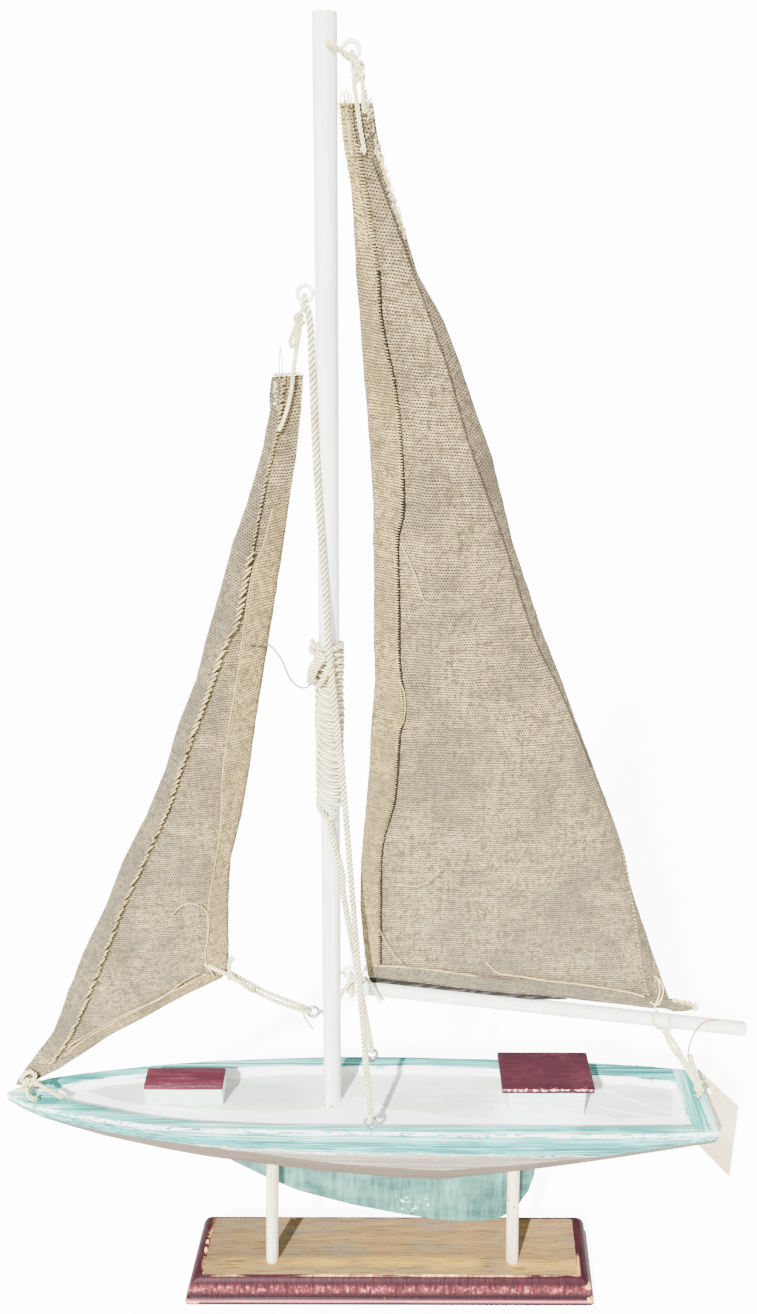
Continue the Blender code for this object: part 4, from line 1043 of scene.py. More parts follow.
# painted shade: the underside below the chine is coloured dark taupe for the shade under the hull
under = mixed(tree, cloudy(tree, (30.0, 300.0, 300.0), detail=4.0), tint(72, 62, 50), tint(116, 100, 82))
ragged = times(tree, calc(tree, "SUBTRACT", plus(tree, blot, dab), 1.0), 5.0)
below = plus(tree, marked(tree, "below_paint"), ragged)
side = mixed(tree, window(tree, below, -0.12, 0.12), aqua, primer)
side = layered(
    tree, side,
    (band(tree, below, 0.0, 0.35, 0.14), tint(248, 248, 244)),
    (window(tree, plus(tree, marked(tree, "below_chine"), times(tree, ragged, 0.4)), 0.0, 0.35), under))
deck_white = mixed(tree, thin["Streak"], tint(236, 242, 238), tint(250, 252, 250))
pool = cloudy(tree, (16.0, 50.0, 50.0), detail=4.0)
wash = mixed(tree, window(tree, pool, 0.40, 0.58), tint(190, 198, 188), tint(228, 232, 222))
wash = layered(
    tree, wash,
    (window(tree, broad["Streak"], 0.40, 0.60, 0.0, 0.3), tint(200, 210, 203)),
    (window(tree, marked(tree, "off_ridge"), 1.0, 0.25), tint(246, 250, 247)))
soft_edge = times(tree, calc(tree, "SUBTRACT", blot, 0.5), 5.0)
deck = mixed(tree, window(tree, plus(tree, marked(tree, "in_wash"), soft_edge), 0.0, 0.8), deck_white, wash)
foot_dirt = times(tree, spot(tree, (MAST_FOOT_X, 0.0, DECK_Z), (0.0062, 0.0062, 0.0100), 0.75),
                  window(tree, grit, 0.50, 0.62))
deck = mixed(tree, foot_dirt, deck, tint(106, 84, 62))
lap = times(tree, calc(tree, "SUBTRACT", plus(tree, blot, broad["Streak"]), 1.0), 2.4)
whole = mixed(tree, window(tree, plus(tree, marked(tree, "in_deck"), lap), -0.55, -0.35), side, deck)
feed(tree, whole, shader.inputs["Base Color"])
feed(tree, window(tree, broad["Streak"], 0.3, 0.7, 0.50, 0.70), shader.inputs["Roughness"])
brushed = mixed(
    tree, stern_end, plus(tree, plus(tree, thin["Streak"], broad["Streak"]), times(tree, dab, 0.7)),
    times(tree, round_stern["Streak"], 2.2))
raised(tree, shader, plus(tree, brushed, times(tree, edge, 0.5)), 0.0004, 0.6)
hull.data.materials.append(mat)
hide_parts("hull")
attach(hull, "hull_and_stand")

# ---------------------------------------------------------------- keel fin
# A 5 mm board sawn to the keel's curve and let into a slot in the hull. It was
# brushed up and down with aqua, thin enough for the white below to show; near
# the top it is coloured darker as painted shade from the hull.
fin = worked_copy("keel_fin", "keel_board")
edit_all()
bpy.ops.mesh.dissolve_limited(angle_limit=math.radians(1.0))
bpy.ops.object.mode_set(mode="OBJECT")
round_edges(fin, 0.0006, 3, 50)
bpy.ops.object.modifier_apply(modifier="rounding")
bpy.ops.object.shade_smooth_by_angle(angle=math.radians(40))
mat, tree, shader = shader_of("fin_paint", rough=0.65, gloss=0.25)
upward = strokes_of(tree, (560.0, 560.0, 46.0), 0.40, 0.12)
level = strokes_of(tree, (40.0, 40.0, 420.0), 0.36, 0.08)
cloud = cloudy(tree, (70.0, 70.0, 110.0), detail=4.0)
nick = cloudy(tree, (330.0, 330.0, 480.0), detail=5.0, rough=0.7)
z_at = parts_of(tree, place(tree, AS_IS))[2]
paint = mixed(tree, window(tree, cloud, 0.36, 0.64), tint(44, 78, 73), tint(70, 114, 103))
paint = layered(
    tree, paint,
    (window(tree, upward["Streak"], 0.40, 0.60, 0.0, 0.5), tint(84, 142, 128)),
    (times(tree, upward["Mask"], window(tree, cloud, 0.40, 0.60, 0.1, 0.55)), tint(120, 172, 156)),
    (times(tree, level["Mask"], 0.35), tint(70, 138, 128)),
    # painted shade: darker toward the top, where the hull shades the fin
    (window(tree, calc(tree, "MULTIPLY_ADD", cloud, 0.03, z_at), 0.090, 0.100, 0.0, 0.6), tint(44, 72, 68)))
dashed = calc(
    tree, "MULTIPLY_ADD", spot(tree, (0.0100, -0.0030, 0.0480), (0.0140, 0.0060, 0.0080)), 0.11, nick)
paint = mixed(tree, window(tree, dashed, 0.70, 0.73), paint, tint(246, 248, 244))
dress(tree, shader, paint, window(tree, upward["Streak"], 0.3, 0.7, 0.54, 0.74),
      plus(tree, upward["Streak"], nick), 0.00035, 0.6)
fin.data.materials.append(mat)
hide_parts("keel_fin")
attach(fin, "hull_and_stand")

# -------------------------------------------------------------- deckhouses
# Two small blocks glued to the deck, painted white, each under a thin burgundy
# roof rubbed with pink. The fore roof is flush and the aft one overhangs.
mat, tree, shader = shader_of("house_white", rough=0.65, gloss=0.3)
strokes = strokes_of(tree, (40.0, 500.0, 500.0), 0.5, 0.15)
smear = cloudy(tree, (90.0, 90.0, 160.0), detail=4.0)
paint = mixed(tree, strokes["Mask"], tint(204, 222, 216), tint(244, 250, 247))
paint = mixed(tree, window(tree, smear, 0.52, 0.64, 0.0, 0.35), paint, tint(166, 214, 208))
dress(tree, shader, paint, window(tree, smear, 0.3, 0.7, 0.56, 0.72), strokes["Streak"], 0.0003, 0.5)
house_white = mat


def paint_roof(name, deep, body, rub_tone, cover, rub_scale, bare_from):
    """Burgundy paint rubbed with pink along its strokes and worn at the rim."""
    mat, tree, shader = shader_of(name, rough=0.5, gloss=0.25)
    strokes = strokes_of(tree, (50.0, 620.0, 620.0), cover, 0.09)
    rub = cloudy(tree, place(tree, rub_scale), detail=4.0, rough=0.6)
    grit = cloudy(tree, (520.0, 700.0, 700.0), detail=4.0, rough=0.65)
    paint = mixed(tree, window(tree, strokes["Streak"], 0.36, 0.62), deep, body)
    rubbed = times(tree, window(tree, rub, 0.44, 0.60), window(tree, grit, 0.40, 0.60, 0.35, 1.0))
    paint = mixed(tree, times(tree, rubbed, strokes["Mask"]), paint, rub_tone)
    worn = plus(tree, marked(tree, "rim"), times(tree, calc(tree, "SUBTRACT", grit, 0.5), 1.6))
    paint = mixed(tree, window(tree, worn, bare_from, bare_from + 0.08), paint, tint(224, 150, 152))
    dress(tree, shader, paint, window(tree, rub, 0.3, 0.7, 0.42, 0.60),
          plus(tree, strokes["Streak"], times(tree, grit, 0.6)), 0.0003, 0.5)
    return mat


fore_roof = paint_roof("fore_roof_burgundy", tint(60, 19, 30), tint(84, 33, 46), tint(140, 70, 82), 0.46,
                       (40.0, 420.0, 200.0), 0.98)
aft_roof = paint_roof("aft_roof_burgundy", tint(44, 13, 22), tint(58, 20, 30), tint(74, 30, 40), 0.62,
                      (60.0, 80.0, 60.0), 0.90)
for house in ("fore_house", "aft_house"):
    roof_mat = fore_roof if house == "fore_house" else aft_roof
    for part, paint_mat, slot, edge in ((house, house_white, "paint_white", 0.0004),
                                        (house + "_roof", roof_mat, "paint_burgundy", 0.0006)):
        low, high = (Vector(v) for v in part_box(part))
        block = start_piece(
            bpy.ops.mesh.primitive_cube_add, part + "_block", size=1.0, location=(low + high) / 2)
        edit_all()
        bpy.ops.transform.resize(value=tuple(high - low), center_override=tuple((low + high) / 2))
        bpy.ops.mesh.bevel(offset=edge, segments=3, affect="EDGES")
        bpy.ops.mesh.select_all(action="SELECT")
        bpy.ops.mesh.subdivide(number_cuts=7)
        bpy.ops.object.mode_set(mode="OBJECT")
        settle(block)
        layer = block.data.attributes.new("rim", "FLOAT", "POINT")
        for i, v in enumerate(block.data.vertices):
            bend = [noise.noise(v.co * 90 + Vector((0.0, 0.0, 7.0 * k))) for k in range(3)]
            v.co += Vector(bend) * 0.00018
            near_side = 1.0 - min(1.0, (v.co.y - low.y) / 0.0014)
            near_top = 1.0 - min(1.0, abs(v.co.z - high.z + 0.0003) / 0.0016)
            rim = near_side * 0.5 + near_top * (0.5 if house == "aft_house" else 0.32)
            layer.data[i].value = max(0.0, rim) if part.endswith("roof") else 0.0
        bpy.ops.object.shade_smooth_by_angle(angle=math.radians(40))
        block.data.materials.append(paint_mat)
        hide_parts(part)
        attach(block, "hull_and_stand")

# ----------------------------------------------------------- mast and boom
# An 8 mm dowel stepped in a rough hole in the deck, and a 6.4 mm dowel for the
# boom, both brushed with thin white paint that runs along the grain. Chips of
# paint broke out of the deck round the mast's foot.
mat, tree, shader = shader_of("spar_white", rough=0.55, gloss=0.35)
long_grain = strokes_of(tree, (640.0, 640.0, 9.0), 0.5, 0.16)
cool = cloudy(tree, (160.0, 160.0, 14.0), detail=3.0)
scuff = cloudy(tree, (800.0, 800.0, 120.0), detail=5.0, rough=0.65)
paint = mixed(tree, long_grain["Mask"], tint(228, 230, 220), tint(251, 250, 243))
paint = layered(
    tree, paint,
    (window(tree, cool, 0.50, 0.62, 0.0, 0.3), tint(176, 222, 216)),
    (window(tree, scuff, 0.72, 0.76), tint(150, 144, 126)))
# painted shade darkens the spars toward their outline
dress(tree, shader, painted_rim_shade(tree, paint, tint(140, 146, 140), 0.55),
      window(tree, long_grain["Streak"], 0.3, 0.7, 0.46, 0.66), long_grain["Streak"], 0.0003, 0.5)
spar_white = mat
low, high = (Vector(v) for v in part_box("mast"))
# how far the middle of the boom's sawn end lies in from its box, in millimetres
BOOM_END = 0.42
spars = (("mast", "mast_dowel", Vector((mast_x(low.z), 0, low.z)), Vector((mast_x(high.z), 0, high.z)),
          MAST_R, "hull_and_stand"),
         ("boom", "boom_dowel", boom_mid(boom_low.x + BOOM_END) / 1000,
          boom_mid(boom_high.x - BOOM_END) / 1000, BOOM_R / 1000, "boom_and_mainsail"))
for cad_name, name, start, end, radius, body in spars:
    line = end - start
    spar = start_piece(
        bpy.ops.mesh.primitive_cylinder_add, name, vertices=48, radius=radius, depth=line.length,
        location=(start + end) / 2, rotation=(0, math.atan2(line.x, line.z), 0))
    settle(spar)
    bpy.ops.object.mode_set(mode="EDIT")
    for share in np.linspace(0, 1, 26)[1:-1]:
        bpy.ops.mesh.select_all(action="SELECT")
        bpy.ops.mesh.bisect(plane_co=tuple(start.lerp(end, share)), plane_no=tuple(line.normalized()))
    bpy.ops.mesh.select_all(action="SELECT")
    bpy.ops.object.mode_set(mode="OBJECT")
    round_edges(spar, 0.0005, 3, 60)
    bpy.ops.object.modifier_apply(modifier="rounding")
    for v in spar.data.vertices:
        share = (v.co - start).dot(line) / line.length_squared
        axis_point = start + line * share
        v.co += (v.co - axis_point) * (noise.noise(Vector((share * 14, 3.0, radius * 900))) * 0.03)
    bpy.ops.object.shade_smooth_by_angle(angle=math.radians(40))
    spar.data.materials.append(spar_white)
    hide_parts(cad_name)
    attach(spar, body)

crater = start_piece(
    bpy.ops.mesh.primitive_torus_add, "mast_foot_crater", location=(mast_x(DECK_Z), 0, DECK_Z + 0.0001),
    major_segments=64, minor_segments=10, major_radius=MAST_R + 0.0006, minor_radius=0.0006)
settle(crater)
for v in crater.data.vertices:
    a = math.atan2(v.co.y, v.co.x - mast_x(DECK_Z))
    chip = noise.noise(Vector((math.cos(a) * 2.4, math.sin(a) * 2.4, 7.0)))
    v.co.z = DECK_Z + (v.co.z - DECK_Z) * (0.55 + 1.1 * chip)
    grown = 1.0 + 0.10 * chip + 0.05 * noise.noise(v.co * 1500)
    v.co.x = mast_x(DECK_Z) + (v.co.x - mast_x(DECK_Z)) * grown
    v.co.y *= grown
mat, tree, shader = shader_of("crumbled_filler", rough=0.8, gloss=0.2)
crumb = cloudy(tree, (900.0, 900.0, 900.0), detail=4.0, rough=0.65)
dress(tree, shader, mixed(tree, window(tree, crumb, 0.50, 0.60), tint(244, 246, 240), tint(120, 96, 72)),
      window(tree, crumb, 0.3, 0.7, 0.65, 0.85), crumb, 0.0003, 0.7)
crater.data.materials.append(mat)
bpy.ops.object.shade_smooth()
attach(crater, "hull_and_stand")

# --------------------------------------------------------------- main sail
# A tapered piece of coarse natural linen that has stretched out of shape. Its
# luff, leech and foot are folded over to port in hems and whipped by hand with
# the same yarn, and threads have frayed out at the head and the clew.
linen_weave, ends_in, ends_out = shader_group(
    "linen_weave", (("Vector", "NodeSocketVector", None),),
    (("Height", "NodeSocketFloat"), ("Gap", "NodeSocketFloat"), ("Yarn", "NodeSocketFloat")))
across_at, down_at = parts_of(linen_weave, ends_in.outputs["Vector"])[:2]
sway = cloudy(linen_weave, ends_in.outputs["Vector"], 0.09, 3.0)
weft = calc(linen_weave, "MULTIPLY_ADD", sway, 2.4, down_at)
row = calc(linen_weave, "FLOOR", weft)
shifted = calc(linen_weave, "MULTIPLY_ADD", calc(linen_weave, "FLOORED_MODULO", row, 2.0), 0.5, across_at)
warp = calc(linen_weave, "MULTIPLY_ADD", sway, 1.6, shifted)
cell = linen_weave.nodes.new("ShaderNodeCombineXYZ")
feed(linen_weave, calc(linen_weave, "FLOOR", warp), cell.inputs[0])
feed(linen_weave, row, cell.inputs[1])
chance = linen_weave.nodes.new("ShaderNodeTexWhiteNoise")
linen_weave.links.new(cell.outputs[0], chance.inputs["Vector"])
off_x = calc(linen_weave, "ABSOLUTE", calc(linen_weave, "SUBTRACT", calc(linen_weave, "FRACT", warp), 0.5))
off_y = calc(linen_weave, "ABSOLUTE", calc(linen_weave, "SUBTRACT", calc(linen_weave, "FRACT", weft), 0.5))
reach_x = calc(linen_weave, "POWER", calc(linen_weave, "DIVIDE", off_x, 0.42), 2.0)
reach_y = calc(linen_weave, "POWER", calc(linen_weave, "DIVIDE", off_y, 0.30), 2.0)
speck = window(linen_weave, plus(linen_weave, reach_x, reach_y), 1.3, 0.2)
gap = times(linen_weave, speck, window(linen_weave, chance.outputs["Value"], 0.0, 0.6, 0.4, 1.0))
rib = window(linen_weave, off_y, 0.0, 0.5, 0.3, 1.0)
linen_weave.links.new(
    calc(linen_weave, "SUBTRACT", rib, times(linen_weave, gap, 0.5)), ends_out.inputs["Height"])
linen_weave.links.new(gap, ends_out.inputs["Gap"])
linen_weave.links.new(chance.outputs["Value"], ends_out.inputs["Yarn"])


def weave_linen(name, light, dark, soil, shade, pitch=0.00110, deep=1.0):
    """Cloth whose UVs are in metres: rows of yarn with specks of shade between."""
    mat, tree, shader = shader_of(name, rough=0.9, gloss=0.15)
    cloth = use_group(tree, linen_weave, Vector=place(tree, (1 / pitch, 0.98 / pitch, 1.0), "UV"))
    mottle = cloudy(tree, (1500.0, 1500.0, 1500.0), detail=2.0, rough=0.6)
    slub = cloudy(tree, place(tree, (70.0, 0.55 / pitch, 1.0), "UV"), detail=2.0)
    patch = cloudy(tree, (30.0, 30.0, 30.0), detail=5.0, rough=0.6)
    upright = cloudy(tree, place(tree, (0.60 / pitch, 60.0, 1.0), "UV"), detail=2.0)
    threads = calc(tree, "MULTIPLY_ADD", slub, 0.20, times(tree, upright, 0.16))
    tone = calc(tree, "MULTIPLY_ADD", mottle, 0.46, calc(tree, "MULTIPLY_ADD", cloth["Yarn"], 0.18, threads))
    yarn = mixed(tree, window(tree, tone, 0.36, 0.64), dark, light)
    yarn = layered(
        tree, yarn,
        (window(tree, patch, 0.42, 0.62, 0.0, 0.55), soil),
        (window(tree, cloth["Height"], 0.62, 0.25, 0.0, 0.15), shade),
        (times(tree, cloth["Gap"], deep), shade))
    dress(tree, shader, yarn, window(tree, tone, 0.3, 0.7, 0.95, 0.82),
          plus(tree, cloth["Height"], times(tree, mottle, 0.6)), 0.0004, 0.8)
    shader.inputs["Sheen Weight"].default_value = 0.15
    return mat


linen = weave_linen("linen", tint(192, 170, 118), tint(84, 73, 51), tint(92, 83, 64), tint(25, 21, 15))
hem_linen = weave_linen("hem_linen", tint(198, 172, 110), tint(92, 78, 50), tint(108, 94, 62),
                        tint(34, 28, 19), 0.00104, 0.95)
# painted shade: a darker copy of the linen for the leech hem, which curls away from the light
shaded_leech_linen = weave_linen("shaded_leech_linen", tint(150, 131, 92), tint(72, 62, 44), tint(78, 69, 54),
                          tint(30, 25, 18), 0.00104, 0.95)
# painted shade: a darker copy of the linen for the foot hem, which faces down, away from the light
shaded_foot_linen = weave_linen("shaded_foot_linen", tint(156, 139, 100), tint(76, 67, 48), tint(86, 78, 62),
                         tint(30, 26, 19), 0.00108, 0.95)
# painted shadow: near-black cloth put where the gaps beside the hems and above the boom lie in shade
shadow_linen = weave_linen("shadow_linen", tint(40, 34, 26), tint(26, 22, 17), tint(24, 20, 16), tint(14, 12, 10))
shade_linen = weave_linen(
    "shade_linen", tint(92, 78, 56), tint(62, 52, 38), tint(56, 48, 35), tint(30, 25, 19))
yarn_mat = spin_cotton("sewing_yarn", tint(206, 184, 116), tint(140, 122, 78), tint(60, 50, 36))
fray_mat = spin_cotton("frayed_yarn", tint(232, 216, 152), tint(168, 148, 98), tint(60, 50, 38))


def between(rows, t):
    """Luff x, luff z, leech x and leech z at a row number with a fraction."""
    return [float(np.interp(t, range(len(rows)), [row[k] for row in rows])) for k in range(4)]


MAIN = ((-20.8, 535.1, -9.9, 535.1), (-20.3, 530.4, -9.1, 530.4), (-19.7, 524.1, -8.1, 524.2),
        (-17.2, 510.5, -4.4, 510.6), (-16.3, 496.5, 0.8, 496.6), (-15.7, 482.1, 5.6, 482.1),
        (-14.4, 467.2, 14.7, 467.3), (-13.4, 451.9, 21.2, 451.9), (-12.0, 436.0, 27.0, 436.1),
        (-10.9, 419.7, 33.5, 419.8), (-9.8, 402.9, 38.3, 403.0), (-9.8, 385.5, 43.2, 385.6),
        (-9.4, 367.5, 49.9, 367.7), (-9.6, 348.9, 56.7, 349.1), (-9.0, 329.7, 65.0, 329.9),
        (-10.6, 309.8, 72.8, 310.0), (-11.4, 289.2, 81.3, 289.4), (-13.1, 267.8, 89.2, 268.1),
        (-14.9, 245.6, 97.0, 246.0), (-15.4, 222.6, 104.7, 223.0), (-13.7, 198.7, 113.6, 199.1),
        (-12.0, 184.0, 126.4, 166.4))
# a cut is its rows and the depth of its belly, in millimetres
MAIN_CUT = (MAIN, 4.0)
# thicknesses of the cloth and of its folded edges, in metres
CLOTH = 0.00045
HEM = 0.0004
# soft creases in the cloth: two ends, depth and half width, in millimetres
CREASES = (((112, 182), (62, 262), 1.5, 4.5), ((112, 178), (40, 212), 1.2, 5.0),
           ((-6, 486), (30, 420), 0.8, 3.0), ((2, 470), (-4, 420), 0.9, 2.5),
           ((10, 250), (46, 300), 0.8, 7.0), ((-4, 352), (30, 330), 0.7, 4.0),
           ((-66, 330), (-84, 262), 1.1, 3.5), ((-92.4, 223.6), (-141, 168.5), 1.6, 2.2),
           ((-84, 250), (-112, 204), 1.0, 3.5), ((-90, 178), (-150, 146), 1.2, 3.0),
           ((-52, 400), (-60, 340), 0.8, 2.5), ((92, 200), (70, 205), 0.7, 4.0))


def belly_at(cut, x, z):
    """How far the cloth stands out, port being negative, in millimetres."""
    rows, deep = cut
    level = [-(row[1] + row[3]) / 2 for row in rows]
    luff_x, luff_z, leech_x, leech_z = between(rows, np.interp(-z, level, range(len(rows))))
    share = min(1.0, max(0.0, (x - luff_x) / max(1.0, leech_x - luff_x)))
    down = min(1.0, max(0.0, (rows[0][3] - z) / (rows[0][3] - rows[-1][3])))
    full = math.sin(math.pi * share) * math.sin(math.pi * down)
    wave = noise.noise(Vector((x / 34, 5.0, z / 52))) * 1.1 + noise.noise(
        Vector((x / 11, 9.0, z / 15))) * 0.28
    out = -deep * full + wave * (0.25 + 0.75 * min(1.0, (leech_x - luff_x) / 40))
    for start, end, depth, half in CREASES:
        run = Vector(end) - Vector(start)
        t = min(1.0, max(0.0, (Vector((x, z)) - Vector(start)).dot(run) / run.length_squared))
        away = (Vector((x, z)) - Vector(start) - run * t).length / half
        if away < 3:
            out += depth * math.exp(-away * away) * math.sin(math.pi * min(1.0, t + 0.15))
    if rows is MAIN and z < 505:
        turned = min(1.0, max(0.0, (x - leech_x + 6.5) / 6.5))
        out += 2.4 * turned ** 1.7 * min(1.0, (505 - z) / 25)
    return out


def sheet_grid(name, verts, uvs, across, down, mat, thick):
    """Cloth from a grid of vertices, given its thickness."""
    wide = across + 1
    faces = [(j * wide + k, (j + 1) * wide + k, (j + 1) * wide + k + 1, j * wide + k + 1)
             for j in range(down) for k in range(across)]
    made = new_piece(name, verts, faces, mat, uvs)
    body = made.modifiers.new("cloth", "SOLIDIFY")
    body.thickness = thick
    body.offset = 0.0
    return made


def cut_cloth(name, cut, across, down, mat, slant):
    """Fine grid of cloth through the rows, bellied and creased."""
    rows = cut[0]
    verts = []
    uvs = []
    for j in range(down + 1):
        luff_x, luff_z, leech_x, leech_z = between(rows, j / down * (len(rows) - 1))
        rag = noise.noise(Vector((1.0, 2.0, luff_z / 6))) * 0.25
        for k in range(across + 1):
            share = k / across
            x = luff_x + rag + share * (
                leech_x - luff_x - rag + noise.noise(Vector((4.0, 2.0, leech_z / 5))) * 0.25)
            z = luff_z + share * (leech_z - luff_z)
            verts.append((x / 1000, belly_at(cut, x, z) / 1000, z / 1000))
            uvs.append((x / 1000, (z + slant(z) * (x - luff_x)) / 1000))
    return sheet_grid(name, verts, uvs, across, down, mat, CLOTH)


def fold_hem(name, cut, outer, inner, lift, down, mat, turn=0.0, across=7):
    """Folded strip on the port face, from an outer edge to a free inner edge."""
    outer_path = even_path([(x, 0, z) for x, z in outer], 1.0)[0]
    inner_path = even_path([(x, 0, z) for x, z in inner], 1.0)[0]
    verts = []
    uvs = []
    for j in range(down + 1):
        t = j / down
        a = [np.interp(t * (len(outer_path) - 1), range(len(outer_path)), outer_path[:, k]) for k in (0, 2)]
        b = [np.interp(t * (len(inner_path) - 1), range(len(inner_path)), inner_path[:, k]) for k in (0, 2)]
        b[0] += noise.noise(Vector((b[0] / 2.2, 40.0, b[1] / 2.2))) * 0.3
        for k in range(across + 1):
            share = k / across
            x = a[0] + share * (b[0] - a[0])
            z = a[1] + share * (b[1] - a[1])
            puff = 0.35 + lift(share, z)
            puff += noise.noise(Vector((x / 7, 30.0, z / 9))) * 0.22 * share + noise.noise(
                Vector((x / 2.4, 3.0, z / 2.4))) * 0.12
            verts.append((x / 1000, (belly_at(cut, x, z) - puff) / 1000, z / 1000))
            uvs.append(((x * math.cos(turn) + z * math.sin(turn)) / 1000,
                        (z * math.cos(turn) - x * math.sin(turn)) / 1000))
    return sheet_grid(name, verts, uvs, across, down, mat, HEM)


def overcast(cut, line, pitch, reach, rise, lift, thick=0.00042, seed=1, uneven=1.0):
    """Slanting stitches over a folded edge, one small bent yarn for each."""
    path = even_path([(x, 0, z) for x, z in line], pitch)[0]
    runs = []
    for n, (x, z) in enumerate(path[:, [0, 2]]):
        drift = noise.noise(Vector((n * 0.73, seed, 0))) * uneven
        size = 1.0 + 0.5 * noise.noise(Vector((n * 0.91, seed, 6))) * uneven
        a = Vector((x - reach * 0.5 * size, 0, z + rise * (0.5 + drift) * size))
        b = Vector((x + reach * (0.5 + 0.3 * drift) * size, 0, z - rise * 0.5 * size))
        points = []
        for share, out in ((0.0, 0.1), (0.35, 0.75), (0.7, 0.7), (1.0, 0.0)):
            p = a.lerp(b, share)
            points.append(Vector((p.x, belly_at(cut, p.x, p.z) - lift - out * 0.5, p.z)) / 1000)
        runs.append(laid(points, thick, thick * 40, plies=1, sides=5, even=True))
    return runs


def loose_yarn(points, thick=0.00045):
    """Single yarn through points in millimetres."""
    return laid([Vector(p) / 1000 for p in points], thick, 0.0024, plies=1, sides=5)


def on_cloth(cut, line, lift):
    """Points that lie on the cloth's port face, or a little off it."""
    return [(x, belly_at(cut, x, z) - lift, z) for x, z in line]


def fray_out(cut, start, end, count, length, lean, seed):
    """Short curling threads that stand out from a cut edge."""
    runs = []
    for n in range(count):
        share = (n + 0.5) / count
        root = Vector((start[0], 0, start[1])).lerp(Vector((end[0], 0, end[1])), share)
        root.y = belly_at(cut, root.x, root.z) - 0.4
        size = length * (0.45 + 0.8 * abs(noise.noise(Vector((n * 1.7, seed, 3.0))) * 1.6))
        turn = lean + noise.noise(Vector((n * 2.3, seed, 8.0))) * 1.44
        away = Vector((math.cos(turn), -0.35 + noise.noise(Vector((n, seed, 1.0))), math.sin(turn)))
        curl = Vector((-away.z, 0.2, away.x)) * noise.noise(Vector((n * 1.1, seed, 5.0))) * 1.2
        runs.append(loose_yarn([root, root + away * size * 0.35 + curl * size * 0.15,
                                root + away * size * 0.7 + curl * size * 0.5,
                                root + away * size + curl * size * 0.9], 0.00032))
    return runs


def curls(cut, start, end, count, wide, size, thick, seed, lift=0.7):
    """Small open loops of frayed yarn that lie on a band of the cloth."""
    runs = []
    for n in range(count):
        share = (n + 0.5) / count
        mid = Vector((start[0], start[1])).lerp(Vector((end[0], end[1])), share)
        mid.x += noise.noise(Vector((n * 1.9, seed, 2.0))) * wide
        mid.y += noise.noise(Vector((n * 1.3, seed, 4.0))) * 1.2
        r = size * (0.75 + 0.6 * abs(noise.noise(Vector((n * 0.7, seed, 7.0)))))
        begin = noise.noise(Vector((n * 2.7, seed, 9.0))) * 7.0
        points = []
        for k in range(7):
            a = begin + k * 0.85
            x = mid.x + r * math.cos(a)
            z = mid.y + r * 1.25 * math.sin(a)
            points.append((x, belly_at(cut, x, z) - lift - 0.35 * math.sin(k * 0.52), z))
        runs.append(loose_yarn(points, thick))
    return runs


main_sail = cut_cloth(
    "main_sail_cloth", MAIN_CUT, 108, 230, linen, lambda z: 0.20 * max(0.0, (z - 360) / 175))
MAIN_LUFF_HEM = (
    (-16.6, 534.4), (-15.1, 522.6), (-11.2, 500.7), (-8.8, 483.9), (-7.8, 469.5), (-5.6, 458.0),
    (-2.7, 445.0), (-0.4, 427.9), (0.6, 400.9), (-1.2, 387.8), (-0.6, 362.0), (0.0, 339.4), (2.2, 316.8),
    (0.3, 305.7), (-1.5, 277.0), (-6.4, 253.2), (-7.1, 224.4), (-7.1, 192.0))
MAIN_LEECH_HEM = (
    (-11.0, 530.0), (-9.5, 518.4), (-0.4, 496.0), (8.1, 474.4), (17.0, 451.5), (24.5, 427.8),
    (32.6, 406.4), (40.6, 385.7), (49.1, 360.9), (55.9, 343.4), (66.7, 322.7), (80.8, 290.2),
    (95.9, 252.9), (101.9, 228.7), (109.9, 190.5), (114.8, 173.6))
MAIN_FOOT_HEM = ((-9.6, 192.2), (-6.6, 191.6), (12.9, 190.1), (36.6, 186.8), (64.9, 183.6), (82.4, 181.5),
                 (104.7, 177.6), (113.5, 175.2))
main_luff_edge = [(row[0] + 0.3, row[1]) for row in MAIN]
main_leech_edge = [(row[2] - 0.3, row[3]) for row in MAIN[:-1]] + [(117.0, 171.6)]
main_foot_edge = [(-11.8, 184.3), (13.1, 181.6), (36.9, 178.3), (65.3, 175.1), (83.0, 172.9),
                  (105.5, 169.2), (118.0, 167.4)]


def luff_lift(share, z):
    """How far a fold stands off the cloth at a share of its width, in millimetres."""
    height = float(
        np.interp(z, (184, 290, 304, 425, 436, 486, 494, 536), (1.5, 1.7, 0.9, 0.9, 1.7, 1.8, 0.8, 0.7)))
    return height * share ** 0.75


def leech_lift(share, z):
    """The same for the leech, at any height."""
    return 0.9 * share


def foot_lift(share, z):
    """The same for the foot, at any height."""
    return 1.1 * share ** 0.6


# the leech and foot hems are cut from the darker linens, as painted shade
hems = [fold_hem("main_luff_hem", MAIN_CUT, main_luff_edge, MAIN_LUFF_HEM, luff_lift, 300, hem_linen,
                 math.radians(-6)),
        fold_hem("main_leech_hem", MAIN_CUT, main_leech_edge, MAIN_LEECH_HEM, leech_lift, 280,
                 shaded_leech_linen, math.radians(40)),
        fold_hem("main_foot_hem", MAIN_CUT, main_foot_edge, MAIN_FOOT_HEM, foot_lift, 120, shaded_foot_linen,
                 math.radians(-8))]


def shade_edge(name, cut, inner, lift, down, wide, mat):
    """Raw edge of the cloth turned in under a hem, coloured dark as painted shade beside it."""
    start = [(x - 0.5, z) for x, z in inner]
    end = [(x + wide * (0.75 + 0.5 * noise.noise(Vector((z / 9, 61.0, 2.0)))), z) for x, z in inner]
    return fold_hem(name, cut, start, end, lift, down, mat, 0.0, 2)


